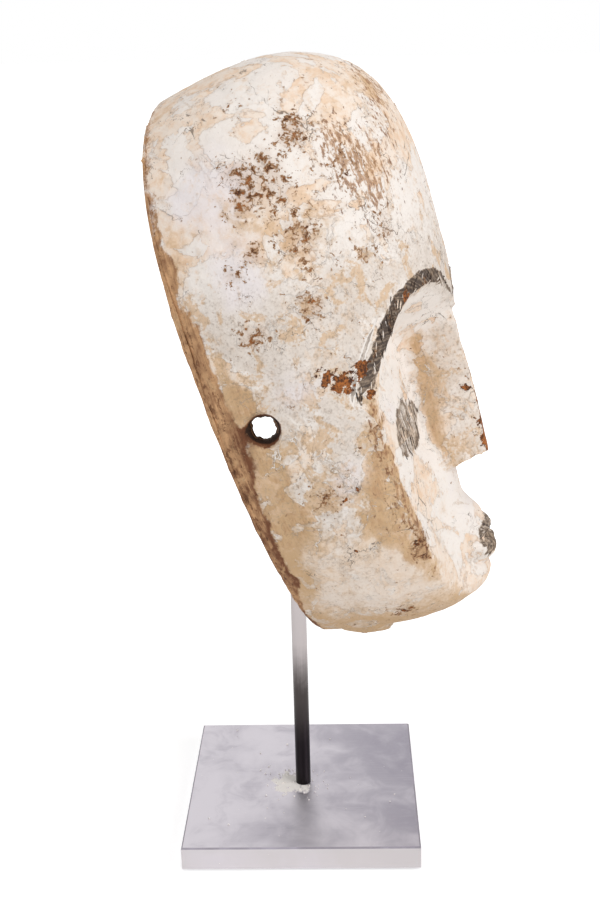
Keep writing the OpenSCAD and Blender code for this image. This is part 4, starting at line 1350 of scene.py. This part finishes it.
class MASK_OT_carve(bpy.types.Operator):
    """Carve the mask, bore its cord holes and give it its worn coat, with flakes and strokes"""

    bl_idname = "mask.carve"
    bl_label = "Carve mask"

    def execute(self, context):
        m, c = context.scene.mask_sizes, context.scene.clay_colours
        clay = kaolin_over_wood(m, c)
        piece = carved_block(m)
        weathered(m, piece)
        bored(m, piece)
        painted(m, piece)
        smoothed(piece, 50)
        finished(piece, clay)
        flakes = scattered("clay_flakes", piece.data, flake(), clay, Where="flaky", Way="",
                           Turn_Aside=1.0, Each_Square_Metre=9000.0, Least_Size=1.0 * MM,
                           Most_Size=3.6 * MM, Lift=0.05 * MM, Seed=3)
        strokes = scattered("charcoal_strokes", piece.data, stroke(), charcoal_strokes(c),
                            Where="charred", Way="way", Turn_Aside=0.3, Each_Square_Metre=90000.0,
                            Least_Size=2.0 * MM, Most_Size=5.2 * MM, Lift=0.02 * MM, Seed=5)
        scratches = scattered("pale_scratches", piece.data, stroke(), clay, Where="charred", Way="way",
                              Turn_Aside=0.25, Each_Square_Metre=60000.0, Least_Size=1.6 * MM,
                              Most_Size=4.6 * MM, Lift=0.05 * MM, Seed=6)
        for attribute in ("black", "charred"):
            store(scratches.data, attribute, np.zeros(len(scratches.data.vertices)))
        for part in (piece, flakes, strokes, scratches):
            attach(part, "mask_body")
        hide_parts("mask")
        return {"FINISHED"}


class MASK_OT_stand(bpy.types.Operator):
    """Finish the steel of the stand: plate, post, screw, crossbar and arm"""

    bl_idname = "mask.stand"
    bl_label = "Finish stand"

    def execute(self, context):
        s = context.scene.stand_settings
        bright = drawn_steel(s)
        finishes = {"base_plate": waxed_steel(s), "post": dark_to_bright_steel(s), "base_screw": bright,
                    "crossbar": bright, "face_arm": bright}
        for node, material in finishes.items():
            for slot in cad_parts[node].material_slots:
                slot.material = material
        return {"FINISHED"}


class MASK_OT_tips(bpy.types.Operator):
    """Mould the rubber tips that touch the mask"""

    bl_idname = "mask.tips"
    bl_label = "Mould tips"

    def execute(self, context):
        s, m = context.scene.stand_settings, context.scene.mask_sizes
        rubber = moulded_rubber(s)
        low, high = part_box("crossbar")
        rod = (high.z - low.z) / 2
        forward = Vector((0, -math.cos(m.lean), math.sin(m.lean)))
        tips = {"crossbar_tip_left": Vector((1, 0, 0)), "crossbar_tip_right": Vector((-1, 0, 0)),
                "face_arm_tip": forward}
        for node, along in tips.items():
            ball = finished(rubber_tip(s, node, rod, along), rubber)
            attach(ball, "stand_post")
            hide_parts(node)
        return {"FINISHED"}


class MASK_OT_felt(bpy.types.Operator):
    """Cut the felt that lies under the plate"""

    bl_idname = "mask.felt"
    bl_label = "Cut felt"

    def execute(self, context):
        s = context.scene.stand_settings
        pad = finished(felt_pad(s), wool_felt(s))
        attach(pad, "base")
        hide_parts("base_felt")
        return {"FINISHED"}


class MASK_OT_crumbs(bpy.types.Operator):
    """Drop crumbs of clay on the plate"""

    bl_idname = "mask.crumbs"
    bl_label = "Drop crumbs"

    def execute(self, context):
        s = context.scene.stand_settings
        ring = dusty_ring(s)
        crumbs = scattered("clay_crumbs", ring.data, crumb(), fallen_clay(s), Where="where", Way="",
                           Turn_Aside=1.0, Each_Square_Metre=160000.0, Least_Size=0.3 * MM,
                           Most_Size=1.3 * MM, Lift=0.0, Seed=8)
        removed(ring)
        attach(crumbs, "base")
        return {"FINISHED"}


class MASK_OT_stage(bpy.types.Operator):
    """Set up the floor, the white room, the lamps and the camera"""

    bl_idname = "mask.stage"
    bl_label = "Set stage"

    def execute(self, context):
        s = context.scene.stage_settings
        floor_of(s)
        room_of(s)
        # Name, place, power and side of each soft lamp, which all look at the mask
        lamps = (
            ("key lamp", (-0.5, -1.3, 1.0), s.key, 1.0),
            ("fill lamp", (-1.3, 0.5, 0.7), s.fill, 1.2),
            ("top lamp", (-0.1, 0.1, 1.7), s.top, 1.2),
        )
        for name, at, power, side in lamps:
            data = bpy.data.lights.new(name, "AREA")
            data.energy, data.size = power, side
            lamp = bpy.data.objects.new(name, data)
            lamp.location = at
            lamp.rotation_euler = (Vector((0, 0, s.aim)) - Vector(at)).to_track_quat("-Z", "Y").to_euler()
            context.scene.collection.objects.link(lamp)
        data = bpy.data.cameras.new("camera")
        data.lens, data.sensor_width = s.lens, 36
        data.clip_start, data.clip_end = 0.01, 20
        camera = bpy.data.objects.new("camera", data)
        turn = Matrix.Rotation(s.heading, 4, "Z") @ Matrix.Rotation(math.pi / 2 - s.pitch, 4, "X")
        camera.matrix_world = Matrix.Translation(s.camera_at) @ turn @ Matrix.Rotation(s.roll, 4, "Z")
        context.scene.collection.objects.link(camera)
        context.scene.camera = camera
        context.scene.view_settings.view_transform = "Standard"
        return {"FINISHED"}


def seen_rays(tree):
    """One for rays from the camera, from glossy surfaces and through clear ones, and else nought."""
    path = add(tree, "ShaderNodeLightPath")
    either = add(tree, "ShaderNodeMath", {0: path.outputs["Is Camera Ray"], 1: path.outputs["Is Glossy Ray"]},
                 operation="MAXIMUM")
    return add(tree, "ShaderNodeMath", {0: either.outputs[0], 1: path.outputs["Is Transmission Ray"]},
               operation="MAXIMUM").outputs[0]


def floor_of(s):
    """A pale floor that keeps the shadow near the stand and is plain white further off."""
    reach, near, far = 12.0, 0.1, 0.5
    corners = [(-reach, -reach, 0), (reach, -reach, 0), (reach, reach, 0), (-reach, reach, 0)]
    floor = mesh_object("floor", corners, [(0, 1, 2, 3)])
    material, tree, place = new_material("matt white paper", Base_Color=(*s.floor_tone, 1), Roughness=1.0,
                                         Specular_IOR_Level=0.0, Emission_Color=(1, 1, 1, 1))
    away = add(tree, "ShaderNodeVectorMath", {0: place}, operation="LENGTH").outputs["Value"]
    lift = add(tree, "ShaderNodeMapRange", {0: away, 1: near, 2: far, 3: s.floor_lift, 4: 1.0},
               interpolation_type="SMOOTHSTEP").outputs[0]
    glow = add(tree, "ShaderNodeMath", {0: seen_rays(tree), 1: lift}, operation="MULTIPLY").outputs[0]
    tree.links.new(glow, tree.nodes["Principled BSDF"].inputs["Emission Strength"])
    finished(floor, material)


def room_of(s):
    """A white room that lights the object from all round."""
    world = bpy.data.worlds.new("white room")
    world.use_nodes = True
    tree = world.node_tree
    strength = add(tree, "ShaderNodeMapRange", {0: seen_rays(tree), 3: s.ambient, 4: 1.0})
    back = tree.nodes["Background"]
    back.inputs["Color"].default_value = (1, 1, 1, 1)
    tree.links.new(strength.outputs[0], back.inputs["Strength"])
    bpy.context.scene.world = world


class MASK_PT_panel(bpy.types.Panel):
    """Lists the steps that build the mask and its stand"""

    bl_idname = "MASK_PT_panel"
    bl_label = "Mask on a stand"
    bl_space_type = "VIEW_3D"
    bl_region_type = "UI"
    bl_category = "Mask"

    def draw(self, context):
        for operator in OPERATORS:
            self.layout.operator(operator.bl_idname)


OPERATORS = (MASK_OT_stage, MASK_OT_carve, MASK_OT_stand, MASK_OT_tips, MASK_OT_felt, MASK_OT_crumbs)
GROUPS = {
    "mask_sizes": MaskSizes, "clay_colours": ClayColours, "stand_settings": StandSettings,
    "stage_settings": StageSettings,
}


def register():
    """Registers the classes and hangs the settings on the scene."""
    for item in (*GROUPS.values(), *OPERATORS, MASK_PT_panel):
        bpy.utils.register_class(item)
    for name, group in GROUPS.items():
        setattr(bpy.types.Scene, name, PointerProperty(type=group))


def unregister():
    """Takes the settings and the classes away again."""
    for name in GROUPS:
        delattr(bpy.types.Scene, name)
    for item in reversed((*GROUPS.values(), *OPERATORS, MASK_PT_panel)):
        bpy.utils.unregister_class(item)


def main():
    """Builds every piece and the stage."""
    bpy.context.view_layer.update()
    register()
    bpy.ops.mask.stage()
    bpy.ops.mask.carve()
    bpy.ops.mask.stand()
    bpy.ops.mask.tips()
    bpy.ops.mask.felt()
    bpy.ops.mask.crumbs()


if __name__ == "__main__":
    main()
